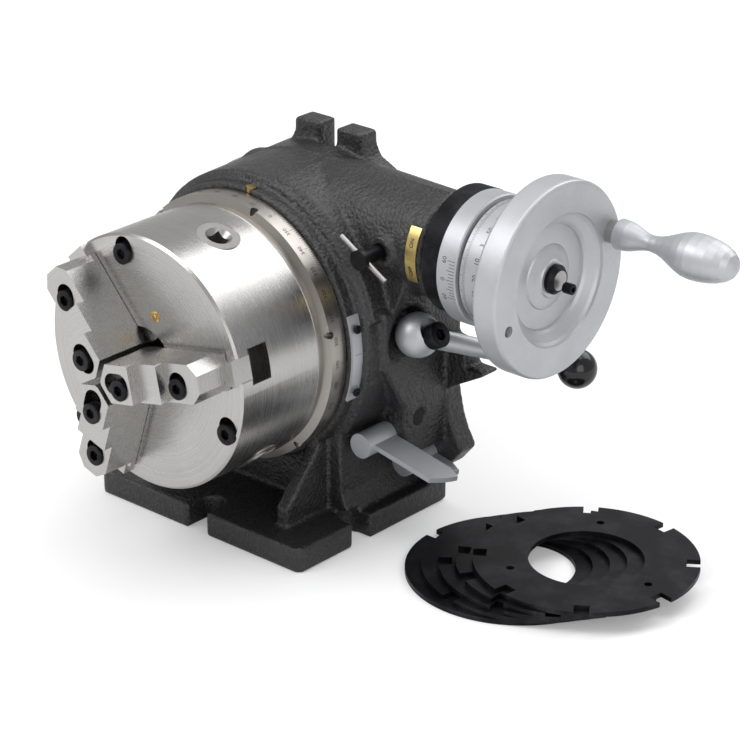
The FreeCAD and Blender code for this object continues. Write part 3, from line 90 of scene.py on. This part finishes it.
class Finish:  # one material being wired up
    def __init__(self, name):
        self.material = bpy.data.materials.new(name)
        self.material.use_nodes = True
        self.tree = self.material.node_tree
        self.tree.nodes.clear()
        self.place = self.add("ShaderNodeTexCoord", out="Object")

    def add(self, kind, settings=None, sockets=None, out=0):
        node = self.tree.nodes.new(kind)
        for name, value in (settings or {}).items():
            setattr(node, name, value)
        for key, value in (sockets or {}).items():
            if isinstance(value, Wire):
                self.tree.links.new(value.socket, node.inputs[key])
            else:
                node.inputs[key].default_value = value
        return Wire(self, node.outputs[out]) if node.outputs else None

    def noise(self, scale, detail=2, rough=0.5, where=None):
        return self.add("ShaderNodeTexNoise", {}, {
            "Vector": where or self.place, "Scale": scale, "Detail": detail, "Roughness": rough,
        })

    def cells(self, scale):
        return self.add("ShaderNodeTexVoronoi", {"feature": "F1"}, {
            "Vector": self.place, "Scale": scale,
        })

    def axes(self):
        split = self.tree.nodes.new("ShaderNodeSeparateXYZ")
        self.tree.links.new(self.place.socket, split.inputs[0])
        return [Wire(self, socket) for socket in split.outputs]

    def vector(self, x, y, z):
        return self.add("ShaderNodeCombineXYZ", {}, {0: x, 1: y, 2: z})

    def blend(self, low, high, share):
        return self.add("ShaderNodeMix", {"data_type": "RGBA"}, {
            0: share, 6: colour(low), 7: colour(high),
        }, 2)

    def bump(self, height, strength, distance):
        return self.add("ShaderNodeBump", {}, {
            "Height": height, "Strength": strength, "Distance": distance,
        })

    def surface(self, **sockets):  # base_color feeds the socket Base Color, and so on
        named = {}
        for name, value in sockets.items():
            named[name.replace("_", " ").title().replace("Ior", "IOR")] = colour(value)
        shader = self.add("ShaderNodeBsdfPrincipled", {}, named)
        self.add("ShaderNodeOutputMaterial", {}, {"Surface": shader})
        return self.material


def colour(value):  # a colour given as three shares gets its alpha
    return (*value, 1) if isinstance(value, tuple) and len(value) == 3 else value


paint = {
    "grain": 760, "lump": 120, "crack": 418, "deep": 0.0009,
    "dark": (0.012, 0.012, 0.013), "worn": (0.060, 0.060, 0.064),
}


def crackleBlack():  # thick wrinkle paint on the casting
    f = Finish("crackleBlack")
    grain = f.noise(paint["grain"], 3, 0.6)
    lump = f.noise(paint["lump"], 3, 0.55)
    crack = f.cells(paint["crack"])
    height = grain * 0.55 + lump * 0.9 + crack * 0.5
    tint = f.blend(paint["dark"], paint["worn"], grain.within(0.52, 0.78))
    return f.surface(
        base_color=tint, roughness=0.24 + 0.30 * lump, specular_ior_level=0.65,
        normal=f.bump(height, 1.0, paint["deep"]),
    )


turning = {"rings": 2600, "cloud": 26, "smear": 90, "waver": 0.06, "dark": 0.82, "bump": 0.30}


def turnedSteel(name, tint, rough):  # fine tool rings round the spindle's axis
    f = Finish(name)
    x, along, z = f.axes()
    up = z - spindleZ
    radius = (x * x + up * up).math("SQRT")
    fine = turning["rings"]
    rings = f.noise(1.0, 3, 0.7, f.vector(radius * fine, along * fine, 0.0))
    cloud = f.noise(turning["cloud"], 3, 0.6)
    smear = f.noise(turning["smear"], 2, 0.5, f.vector(radius * 9, along * 9, 0.0))
    tone = rings * 0.5 + cloud * 0.3 + smear * 0.2
    dark = tuple(share * turning["dark"] for share in tint)
    waver = turning["waver"]
    return f.surface(
        base_color=f.blend(dark, tint, tone.within(0.3, 0.7)), metallic=1.0,
        roughness=rough - waver + 2 * waver * tone,
        normal=f.bump(rings, turning["bump"], 0.0002),
    )


def satinMetal(name, tint, rough, grain=1500, metallic=1.0, bump=0.08):
    f = Finish(name)
    fine = f.noise(grain, 2, 0.6)
    cloud = f.noise(30, 3, 0.6)
    tone = fine * 0.4 + cloud * 0.6
    dark = tuple(share * 0.86 for share in tint)
    return f.surface(
        base_color=f.blend(dark, tint, tone.within(0.35, 0.65)), metallic=metallic,
        roughness=rough - 0.05 + 0.1 * tone, normal=f.bump(fine, bump, 0.0002),
    )


oxide = {"low": (0.012, 0.012, 0.014), "high": (0.05, 0.05, 0.055), "rough": 0.34}


def oxideBlack():  # chemically blackened steel, scuffed here and there
    f = Finish("oxideBlack")
    fine = f.noise(900, 3, 0.6)
    cloud = f.noise(45, 4, 0.6)
    scuff = f.noise(160, 4, 0.7).within(0.58, 0.72)
    share = cloud.within(0.4, 0.75) * 0.7 + scuff * 0.3
    return f.surface(
        base_color=f.blend(oxide["low"], oxide["high"], share), metallic=0.85,
        roughness=oxide["rough"] + 0.16 * cloud, normal=f.bump(fine, 0.12, 0.0003),
    )


finishes = {
    "casting_paint": crackleBlack(),
    "ground_steel": turnedSteel("groundSteel", (0.56, 0.55, 0.535), 0.27),
    "ring_steel": turnedSteel("ringSteel", (0.44, 0.415, 0.385), 0.30),
    "dull_steel": satinMetal("dullSteel", (0.42, 0.41, 0.40), 0.36),
    "black_steel": oxideBlack(),
    "satin_silver": satinMetal("satinSilver", (0.54, 0.55, 0.575), 0.46, 1500, 0.65, 0.10),
    "bronze": satinMetal("bronze", (0.62, 0.42, 0.16), 0.3),
    "plate_gold": satinMetal("plateGold", (0.75, 0.58, 0.22), 0.3),
    "seal_rubber": satinMetal("sealRubber", (0.02, 0.02, 0.02), 0.6, metallic=0.0),
    "scale_ink": satinMetal("scaleInk", (0.030, 0.028, 0.026), 0.55, 900, 0.0, 0.02),
    "black_plastic": satinMetal("blackPlastic", (0.008, 0.008, 0.009), 0.16, 400, 0.0, 0.02),
}
for part in frame["record"]["subparts"]:
    mesh = nodes[part["node"]].data
    mesh.materials.clear()
    mesh.materials.append(finishes[part["material_slot"]])
print("finishes wired")


def clearSelection():
    if bpy.context.object and bpy.context.object.mode != "OBJECT":
        bpy.ops.object.mode_set(mode="OBJECT")
    bpy.ops.object.select_all(action="DESELECT")


def pick(*things):
    clearSelection()
    for thing in things:
        thing.select_set(True)
    bpy.context.view_layer.objects.active = things[0]
    return things[0]


def editAll(thing, action="SELECT"):  # edit mode, with everything or nothing selected
    pick(thing)
    bpy.ops.object.mode_set(mode="EDIT")
    bpy.ops.mesh.select_all(action=action)


def settle(thing):  # moves a piece's place into its mesh
    pick(thing)
    bpy.ops.object.transform_apply(location=True, rotation=True, scale=True)
    return thing


def shadeByAngle(thing, degrees=32):
    pick(thing)
    bpy.ops.object.shade_smooth_by_angle(angle=math.radians(degrees))


def joined(things):
    pick(*things)
    if len(things) > 1:
        bpy.ops.object.join()
    return things[0]


def copied(thing, place):  # a copy with its own mesh, moved by a matrix
    twin = thing.copy()
    twin.data = thing.data.copy()
    bpy.context.scene.collection.objects.link(twin)
    twin.data.transform(place)
    return twin


def removed(*things):
    for thing in things:
        bpy.data.objects.remove(thing, do_unlink=True)


def finished(thing, name, body, slot, look=None, degrees=32, stands=()):
    # stands: the solids whose place the piece takes
    settle(thing)
    thing.name = name
    thing.data.name = name
    if degrees:
        shadeByAngle(thing, degrees)
    thing.data.materials.clear()
    thing.data.materials.append(look or finishes[slot])
    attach(thing, body)
    if stands:
        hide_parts(*stands)
    return thing


def cylinder(radius, long, at=(0, 0, 0), vertices=64, turn=(0, 0, 0)):
    clearSelection()
    bpy.ops.mesh.primitive_cylinder_add(
        vertices=vertices, radius=radius, depth=long, location=at, rotation=turn,
    )
    return bpy.context.object


def ring(reach, thick, at, turn, around, section):
    clearSelection()
    bpy.ops.mesh.primitive_torus_add(
        major_radius=reach, minor_radius=thick, major_segments=around, minor_segments=section,
        location=at, rotation=turn,
    )
    return settle(bpy.context.object)


def modified(thing, kind, **settings):
    pick(thing)
    modifier = thing.modifiers.new(kind.lower(), kind)
    for key, value in settings.items():
        setattr(modifier, key, value)
    bpy.ops.object.modifier_apply(modifier=modifier.name)
    return thing


def carved(thing, cutter):
    modified(thing, "BOOLEAN", operation="DIFFERENCE", solver="EXACT", object=cutter)
    removed(cutter)
    return thing


def easedEdges(thing, width, segments=2, degrees=40):
    return modified(
        thing, "BEVEL", width=width, segments=segments, limit_method="ANGLE",
        angle_limit=math.radians(degrees), harden_normals=False,
    )


def spunProfile(points, steps=64):
    # points are (radius, height) pairs, turned about Z into a closed shell
    clearSelection()
    mesh = bpy.data.meshes.new("profile")
    edges = [(i, i + 1) for i in range(len(points) - 1)]
    mesh.from_pydata([(reach, 0, high) for reach, high in points], edges, [])
    thing = bpy.data.objects.new("profile", mesh)
    bpy.context.scene.collection.objects.link(thing)
    editAll(thing)
    bpy.ops.mesh.spin(steps=steps, angle=math.tau, center=(0, 0, 0), axis=(0, 0, 1))
    bpy.ops.mesh.select_all(action="SELECT")
    bpy.ops.mesh.remove_doubles(threshold=1e-6)
    bpy.ops.mesh.dissolve_degenerate(threshold=1e-7)
    bpy.ops.mesh.normals_make_consistent(inside=False)
    bpy.ops.object.mode_set(mode="OBJECT")
    return thing


def facing(at, direction):  # stands a piece made along +Z at a place, pointing a way
    turn = Vector(direction).to_track_quat("Z", "Y").to_matrix().to_4x4()
    return Matrix.Translation(at) @ turn


def onChuck(reach, degrees, y):  # a place round the spindle's axis
    a = math.radians(degrees)
    return Vector((reach * math.cos(a), y, spindleZ + reach * math.sin(a)))


def outwards(degrees):
    a = math.radians(degrees)
    return Vector((math.cos(a), 0, math.sin(a)))


# casting: soft cast corners and the raised parting seam
casting = {
    "voxel": 0.0013, "easing": 4, "triangles": 170000, "seamRound": 0.0011,
    "drumSeam": 0.0951, "seamY": 0.044, "seamDrop": 0.02, "tubeTop": 0.0333,
    "barLong": 0.1, "barX": 0.066,
}


def makeCasting():
    source = nodes["body_casting"]
    skin = copied(source, Matrix())
    skin.parent = None
    for key in list(skin.keys()):
        del skin[key]
    editAll(skin)
    bpy.ops.mesh.remove_doubles(threshold=1e-6)
    bpy.ops.object.mode_set(mode="OBJECT")
    hoop = ring(
        casting["drumSeam"], casting["seamRound"], (0, casting["seamY"], spindleZ),
        (math.pi / 2, 0, 0), 180, 10,
    )
    editAll(hoop)
    bpy.ops.mesh.bisect(
        plane_co=(0, 0, spindleZ - casting["seamDrop"]), plane_no=(0, 0, 1),
        clear_inner=True, use_fill=True,
    )
    bpy.ops.object.mode_set(mode="OBJECT")
    bar = settle(cylinder(
        casting["seamRound"], casting["barLong"],
        (casting["barX"], wormAxis.y, wormAxis.z + casting["tubeTop"]), 10, (0, math.pi / 2, 0),
    ))
    skin = joined([skin, hoop, bar])
    coarse = 1
    modified(skin, "REMESH", mode="VOXEL", voxel_size=casting["voxel"] * coarse, adaptivity=0)
    modified(skin, "SMOOTH", factor=0.5, iterations=casting["easing"])
    count = sum(len(face.vertices) - 2 for face in skin.data.polygons)
    if count > casting["triangles"]:
        modified(skin, "DECIMATE", ratio=casting["triangles"] / count)
    finished(skin, "casting_skin", "head", "casting_paint", degrees=60, stands=["body_casting"])


makeCasting()
print("casting skinned")


# socket screws
def socketScrew(look):  # head with its top at z = 0, shank below
    head = cylinder(look["head"], look["tall"], (0, 0, -look["tall"] / 2))
    easedEdges(head, look["ease"], 3)
    carved(head, cylinder(look["hex"] / math.sqrt(3), look["hexDeep"] * 2, (0, 0, 0), 6))
    easedEdges(head, look["ease"] * 0.3, 1)
    if look.get("shank"):
        middle = -look["long"] / 2 - look["tall"] * 0.6
        head = joined([head, cylinder(look["shank"], look["long"], (0, 0, middle), 32)])
    return head


jawScrew = {
    "head": 0.0065, "tall": 0.007, "ease": 0.0006, "hex": 0.006, "hexDeep": 0.0036, "shank": 0.004,
    "jawOne": 12, "reach": (0.019, 0.056), "y": (-0.1375, -0.1255), "long": (0.036, 0.026),
}
faceScrew = {
    "head": 0.0066, "tall": 0.0072, "ease": 0.0006, "hex": 0.006, "hexDeep": 0.0036,
    "shank": 0.004, "long": 0.074, "first": 102, "reach": 0.0713, "y": -0.0996,
}
hubScrew = {
    "head": 0.0033, "tall": 0.0062, "ease": 0.0004, "hex": 0.0030, "hexDeep": 0.0024, "x": 0.206,
}
leverScrew = {
    "head": 0.008, "tall": 0.0082, "ease": 0.0008, "hex": 0.0070, "hexDeep": 0.0042,
    "tilt": 28, "foot": (0.1037, 0.028, 0.1342), "out": 0.0164,
}
pointerScrew = {
    "head": 0.0027, "tall": 0.0022, "ease": 0.0009, "hex": 0.0022, "hexDeep": 0.0010,
    "degrees": (12, -14), "reach": 0.0914, "y": -0.0106,
}
chuckFront = Vector((0, -1, 0))


def makeScrews():
    heads = [socketScrew(dict(jawScrew, long=long)) for long in jawScrew["long"]]
    for i in range(3):
        degrees = jawScrew["jawOne"] + 120 * i
        pair = [
            copied(head, facing(onChuck(reach, degrees, y), chuckFront))
            for head, reach, y in zip(heads, jawScrew["reach"], jawScrew["y"])
        ]
        finished(joined(pair), f"jaw_screws_{i + 1}", f"jaw_set_{i + 1}", "black_steel",
                 stands=[f"jaw_bolts_{i + 1}"])
    face = socketScrew(faceScrew)
    three = [
        copied(face, facing(
            onChuck(faceScrew["reach"], faceScrew["first"] + 120 * i, faceScrew["y"]), chuckFront,
        ))
        for i in range(3)
    ]
    finished(joined(three), "face_screws", "spindle_set", "black_steel", stands=["chuck_bolts"])
    hub = socketScrew(hubScrew)
    hub.data.transform(facing((hubScrew["x"], wormAxis.y, wormAxis.z), (1, 0, 0)))
    finished(hub, "hub_cap_screw", "worm_set", "black_steel", stands=["hub_screw"])
    lever = socketScrew(leverScrew)
    way = outwards(leverScrew["tilt"])
    lever.data.transform(facing(Vector(leverScrew["foot"]) + way * leverScrew["out"], way))
    finished(lever, "lever_cap_screw", "lever_set", "black_steel", stands=["lever_screw"])
    pointer = socketScrew(pointerScrew)
    pair = [
        copied(pointer, facing(
            onChuck(pointerScrew["reach"], degrees, pointerScrew["y"]), outwards(degrees),
        ))
        for degrees in pointerScrew["degrees"]
    ]
    finished(joined(pair), "pointer_cap_screws", "head", "black_steel", stands=["pointer_screws"])
    removed(*heads, face, pointer)


makeScrews()
print("screws turned")


# engraved scales: flat work in the XY plane is wrapped round a drum, x along the reading
# direction, y up the digits, z outwards
spindleDrum = {"axis": "y", "centre": (0.0, spindleZ), "radius": 0.0848, "sense": 1, "rise": -1}
vernierDrum = {
    "axis": "x", "centre": (wormAxis.y, wormAxis.z), "radius": 0.0408, "sense": -1, "rise": -1,
}
dialDrum = dict(vernierDrum, radius=0.038)
engraving = {"proud": 0.00003, "capHeight": 0.69, "curve": 3}


def wrapped(thing, drum, degrees, along):
    one, two = drum["centre"]
    for point in thing.data.vertices:
        a = math.radians(degrees) + drum["sense"] * point.co.x / drum["radius"]
        reach = drum["radius"] + point.co.z
        across, up = one + reach * math.cos(a), two + reach * math.sin(a)
        where = along + drum["rise"] * point.co.y
        point.co = (across, where, up) if drum["axis"] == "y" else (where, across, up)
    return thing


def scoreLine(wide, long):  # thin engraved line, its foot at y = 0, running up
    clearSelection()
    bpy.ops.mesh.primitive_cube_add(size=1, location=(0, long / 2, 0))
    line = bpy.context.object
    line.scale = (wide, long, engraving["proud"] * 2)
    return settle(line)


def figure(text, tall):  # numbers as a flat mesh, centred
    clearSelection()
    bpy.ops.object.text_add()
    words = bpy.context.object
    words.data.body = text
    words.data.size = tall / engraving["capHeight"]
    words.data.resolution_u = engraving["curve"]
    words.data.align_x = "CENTER"
    words.data.align_y = "CENTER"
    words.data.extrude = engraving["proud"]
    pick(words)
    bpy.ops.object.convert(target="MESH")
    return bpy.context.object


def inked(thing, name, body):
    return finished(thing, name, body, "black_plastic", finishes["scale_ink"], degrees=0)


def graduated(look, step, count):  # every tenth mark long, every fifth middling
    marks = []
    for k in range(count):
        size = "long" if k % 10 == 0 else "middle" if k % 5 == 0 else "short"
        marks.append((look["zero"] + step * k, look[size]))
    return marks


def scale(name, drum, body, look):
    # look: marks as (degrees, long), words as (degrees, text), and where they stand
    made = []
    lines = {}
    for degrees, long in look["marks"]:
        if long not in lines:
            lines[long] = scoreLine(look["wide"], long)
        made.append(wrapped(copied(lines[long], Matrix()), drum, degrees, look["foot"]))
    removed(*lines.values())
    for degrees, text in look["words"]:
        made.append(wrapped(figure(text, look["tall"]), drum, degrees, look["wordAt"]))
    return inked(joined(made), name, body)


ringScale = {
    "zero": 68.5, "foot": -0.0160, "wide": 0.00026, "tall": 0.0027, "wordAt": -0.0232,
    "long": 0.0043, "middle": 0.0031, "short": 0.0025,
}
ringScale["marks"] = graduated(ringScale, 1, 360)
ringScale["words"] = [(ringScale["zero"] + d, str(d)) for d in range(0, 360, 10)]

dialScale = {  # four degrees of the spindle to a turn
    "zero": 129.5, "step": 1.5, "perWord": 15, "foot": 0.1590, "wide": 0.00020, "tall": 0.0031,
    "wordAt": 0.1662, "long": 0.0036, "middle": 0.0026, "short": 0.0018,
}


def dialWords():  # whole degrees, with tens of minutes between them
    words = []
    for k in range(24):
        minutes = (k + 5) % 6 * 10
        text = str(minutes) if minutes else str((k // 6 + 3) % 4)
        words.append((dialScale["zero"] + dialScale["perWord"] * k, text))
    return words


dialScale["marks"] = graduated(dialScale, dialScale["step"], 240)
dialScale["words"] = dialWords()

vernierScale = {
    "zero": 181.5, "step": 2.75, "foot": 0.1530, "wide": 0.00032, "tall": 0.0029, "wordAt": 0.1450,
    "long": 0.0056, "short": 0.0040,
}
vernierScale["marks"] = [
    (vernierScale["zero"] + vernierScale["step"] * k, vernierScale["short" if k % 3 else "long"])
    for k in range(-6, 7)
]
vernierScale["words"] = [
    (vernierScale["zero"] + vernierScale["step"] * k, text)
    for k, text in ((-6, "60"), (0, "0"), (6, "60"))
]


def makeScales():
    scale("ring_scale", spindleDrum, "spindle_set", ringScale)
    scale("dial_scale", dialDrum, "dial", dialScale)
    scale("vernier_scale", vernierDrum, "sleeve_set", vernierScale)


makeScales()
print("scales engraved")


# knurled band round the sleeve's flange
knurl = {
    "radius": 0.0396, "from": 0.1248, "to": 0.1372, "y": 0.0455, "around": 300, "rows": 18,
    "deep": 0.00028,
}


def makeKnurl():
    wide = knurl["to"] - knurl["from"]
    band = cylinder(knurl["radius"], wide, vertices=knurl["around"])
    editAll(band, "DESELECT")
    work = bmesh.from_edit_mesh(band.data)
    for edge in work.edges:
        edge.select = abs(edge.verts[0].co.z - edge.verts[1].co.z) > wide / 2
    bmesh.update_edit_mesh(band.data)
    bpy.ops.mesh.subdivide(number_cuts=knurl["rows"] - 1)
    bpy.ops.object.mode_set(mode="OBJECT")
    step = math.tau / knurl["around"]
    tall = wide / knurl["rows"]
    for point in band.data.vertices:
        column = round(math.atan2(point.co.y, point.co.x) / step)
        row = round((point.co.z + wide / 2) / tall)
        if (column + row) % 2 == 0 and 0 < row < knurl["rows"]:
            point.co.xy *= 1 - knurl["deep"] / knurl["radius"]
    middle = (knurl["from"] + knurl["to"]) / 2
    band.data.transform(facing((middle, knurl["y"], wormAxis.z), (1, 0, 0)))
    finished(band, "flange_knurl", "sleeve_set", "black_steel", degrees=0)


# drive pins of the bare plate on the drum, and the words of the switch plate on the tube
platePins = {"turn": 132, "reach": 0.0961, "y": (0.034, 0.050), "radius": 0.0016}
switchWords = {"x": 0.114, "tall": 0.0026, "words": ((162, "ON"), (192, "OFF"))}
switchDrum = dict(vernierDrum, radius=0.0341)


def makePlates():
    stud = cylinder(platePins["radius"], platePins["radius"], vertices=24)
    easedEdges(stud, platePins["radius"] * 0.4, 3)
    turn = platePins["turn"]
    pins = [
        copied(stud, facing(onChuck(platePins["reach"], turn, y), outwards(turn)))
        for y in platePins["y"]
    ]
    removed(stud)
    finished(joined(pins), "name_plate_pins", "head", "dull_steel")
    words = [
        wrapped(figure(text, switchWords["tall"]), switchDrum, turn, switchWords["x"])
        for turn, text in switchWords["words"]
    ]
    inked(joined(words), "switch_words", "head")


# threads in the rim's second hole, the zero line on the pointer plate, the face oiler's cup
rimThreads = {
    "count": 7, "pitch": 0.0011, "radius": 0.0034, "ridge": 0.00035, "x": 0.1985,
    "reach": 0.0502, "turn": 200,
}
zeroLine = {"reach": 0.0896, "degrees": 1.0, "foot": -0.0074, "wide": 0.0003, "long": 0.0050}
oilerCup = {
    "reach": 0.0338, "degrees": 73, "y": -0.1006, "steps": 40,
    "profile": [
        (0, -0.0004), (0.0034, -0.0004), (0.0034, 0.0003), (0.0029, 0.0006), (0.0017, 0.0002),
        (0.0013, 0.0002), (0.0009, 0.0007), (0, 0.0009),
    ],
}


def makeSmallDetail():
    hole = wormAxis + Vector((
        rimThreads["x"], rimThreads["reach"] * math.cos(math.radians(rimThreads["turn"])),
        rimThreads["reach"] * math.sin(math.radians(rimThreads["turn"])),
    ))
    turns = [
        ring(rimThreads["radius"], rimThreads["ridge"],
             hole - Vector((rimThreads["pitch"] * k, 0, 0)), (0, math.pi / 2, 0), 36, 6)
        for k in range(rimThreads["count"])
    ]
    finished(joined(turns), "rim_hole_threads", "worm_set", "dull_steel")
    line = wrapped(
        scoreLine(zeroLine["wide"], zeroLine["long"]), dict(spindleDrum, radius=zeroLine["reach"]),
        zeroLine["degrees"], zeroLine["foot"],
    )
    inked(line, "zero_line", "head")
    cup = spunProfile(oilerCup["profile"], oilerCup["steps"])
    cup.data.transform(facing(
        onChuck(oilerCup["reach"], oilerCup["degrees"], oilerCup["y"]), chuckFront,
    ))
    finished(cup, "chuck_oiler_cup", "spindle_set", "bronze")


makeKnurl()
makePlates()
makeSmallDetail()
print("small pieces fitted")


# studio: a pale floor that camera rays see slightly lifted, four soft lamps, the camera
floor = {"size": 9.0, "tone": (0.80, 0.80, 0.80), "lift": 0.22, "drop": 0.0003}


def makeFloor():
    clearSelection()
    bpy.ops.mesh.primitive_plane_add(size=floor["size"], location=(0, 0, -floor["drop"]))
    plane = bpy.context.object
    plane.name = "studio_floor"
    f = Finish("studioFloor")
    camera = f.add("ShaderNodeLightPath", out="Is Camera Ray")
    matt = f.add("ShaderNodeBsdfDiffuse", {}, {"Color": colour(floor["tone"])})
    glow = f.add("ShaderNodeEmission", {}, {
        "Color": (1, 1, 1, 1), "Strength": camera * floor["lift"],
    })
    both = f.add("ShaderNodeAddShader", {}, {0: matt, 1: glow})
    f.add("ShaderNodeOutputMaterial", {}, {"Surface": both})
    plane.data.materials.append(f.material)


lamps = {  # place, size, power
    "key": ((-0.9, -1.5, 1.9), 1.3, 26.0),
    "fill": ((1.9, -1.1, 1.0), 1.5, 13.0),
    "back": ((0.3, 1.7, 1.7), 1.6, 20.0),
    "top": ((0.1, 0.0, 2.4), 1.6, 16.0),
}
sky = {"colour": (0.92, 0.92, 0.93), "strength": 0.55}
lampAim = Vector((0.08, 0.0, 0.1))


def makeLamps():
    for name, (spot, size, power) in lamps.items():
        clearSelection()
        bpy.ops.object.light_add(type="AREA", location=spot)
        lamp = bpy.context.object
        lamp.name = name + "_lamp"
        lamp.data.size = size
        lamp.data.energy = power
        aim = lampAim - Vector(spot)
        lamp.rotation_euler = aim.to_track_quat("-Z", "Y").to_euler()
    world = bpy.data.worlds.new("studio")
    bpy.context.scene.world = world
    world.use_nodes = True
    light = world.node_tree.nodes["Background"].inputs
    light["Color"].default_value = colour(sky["colour"])
    light["Strength"].default_value = sky["strength"]


view = {
    "azimuth": 41.3, "elevation": 24.0, "roll": 0.1, "lens": 137.25, "sensor": 36, "far": 30,
    "at": (1.1304, -1.1798, 0.8134),
}


def makeCamera():
    a, e = math.radians(view["azimuth"]), math.radians(view["elevation"])
    clearSelection()
    bpy.ops.object.camera_add(location=view["at"])
    camera = bpy.context.object
    right = Vector((math.cos(a), math.sin(a), 0))
    back = Vector((math.sin(a) * math.cos(e), -math.cos(a) * math.cos(e), math.sin(e)))
    turn = Matrix((right, back.cross(right), back)).transposed()
    camera.rotation_euler = (turn @ Matrix.Rotation(math.radians(view["roll"]), 3, "Z")).to_euler()
    camera.data.sensor_width = view["sensor"]
    camera.data.lens = view["lens"]
    camera.data.clip_end = view["far"]
    bpy.context.scene.camera = camera


makeFloor()
makeLamps()
makeCamera()
bpy.context.scene.view_settings.view_transform = "Standard"
print("studio set")
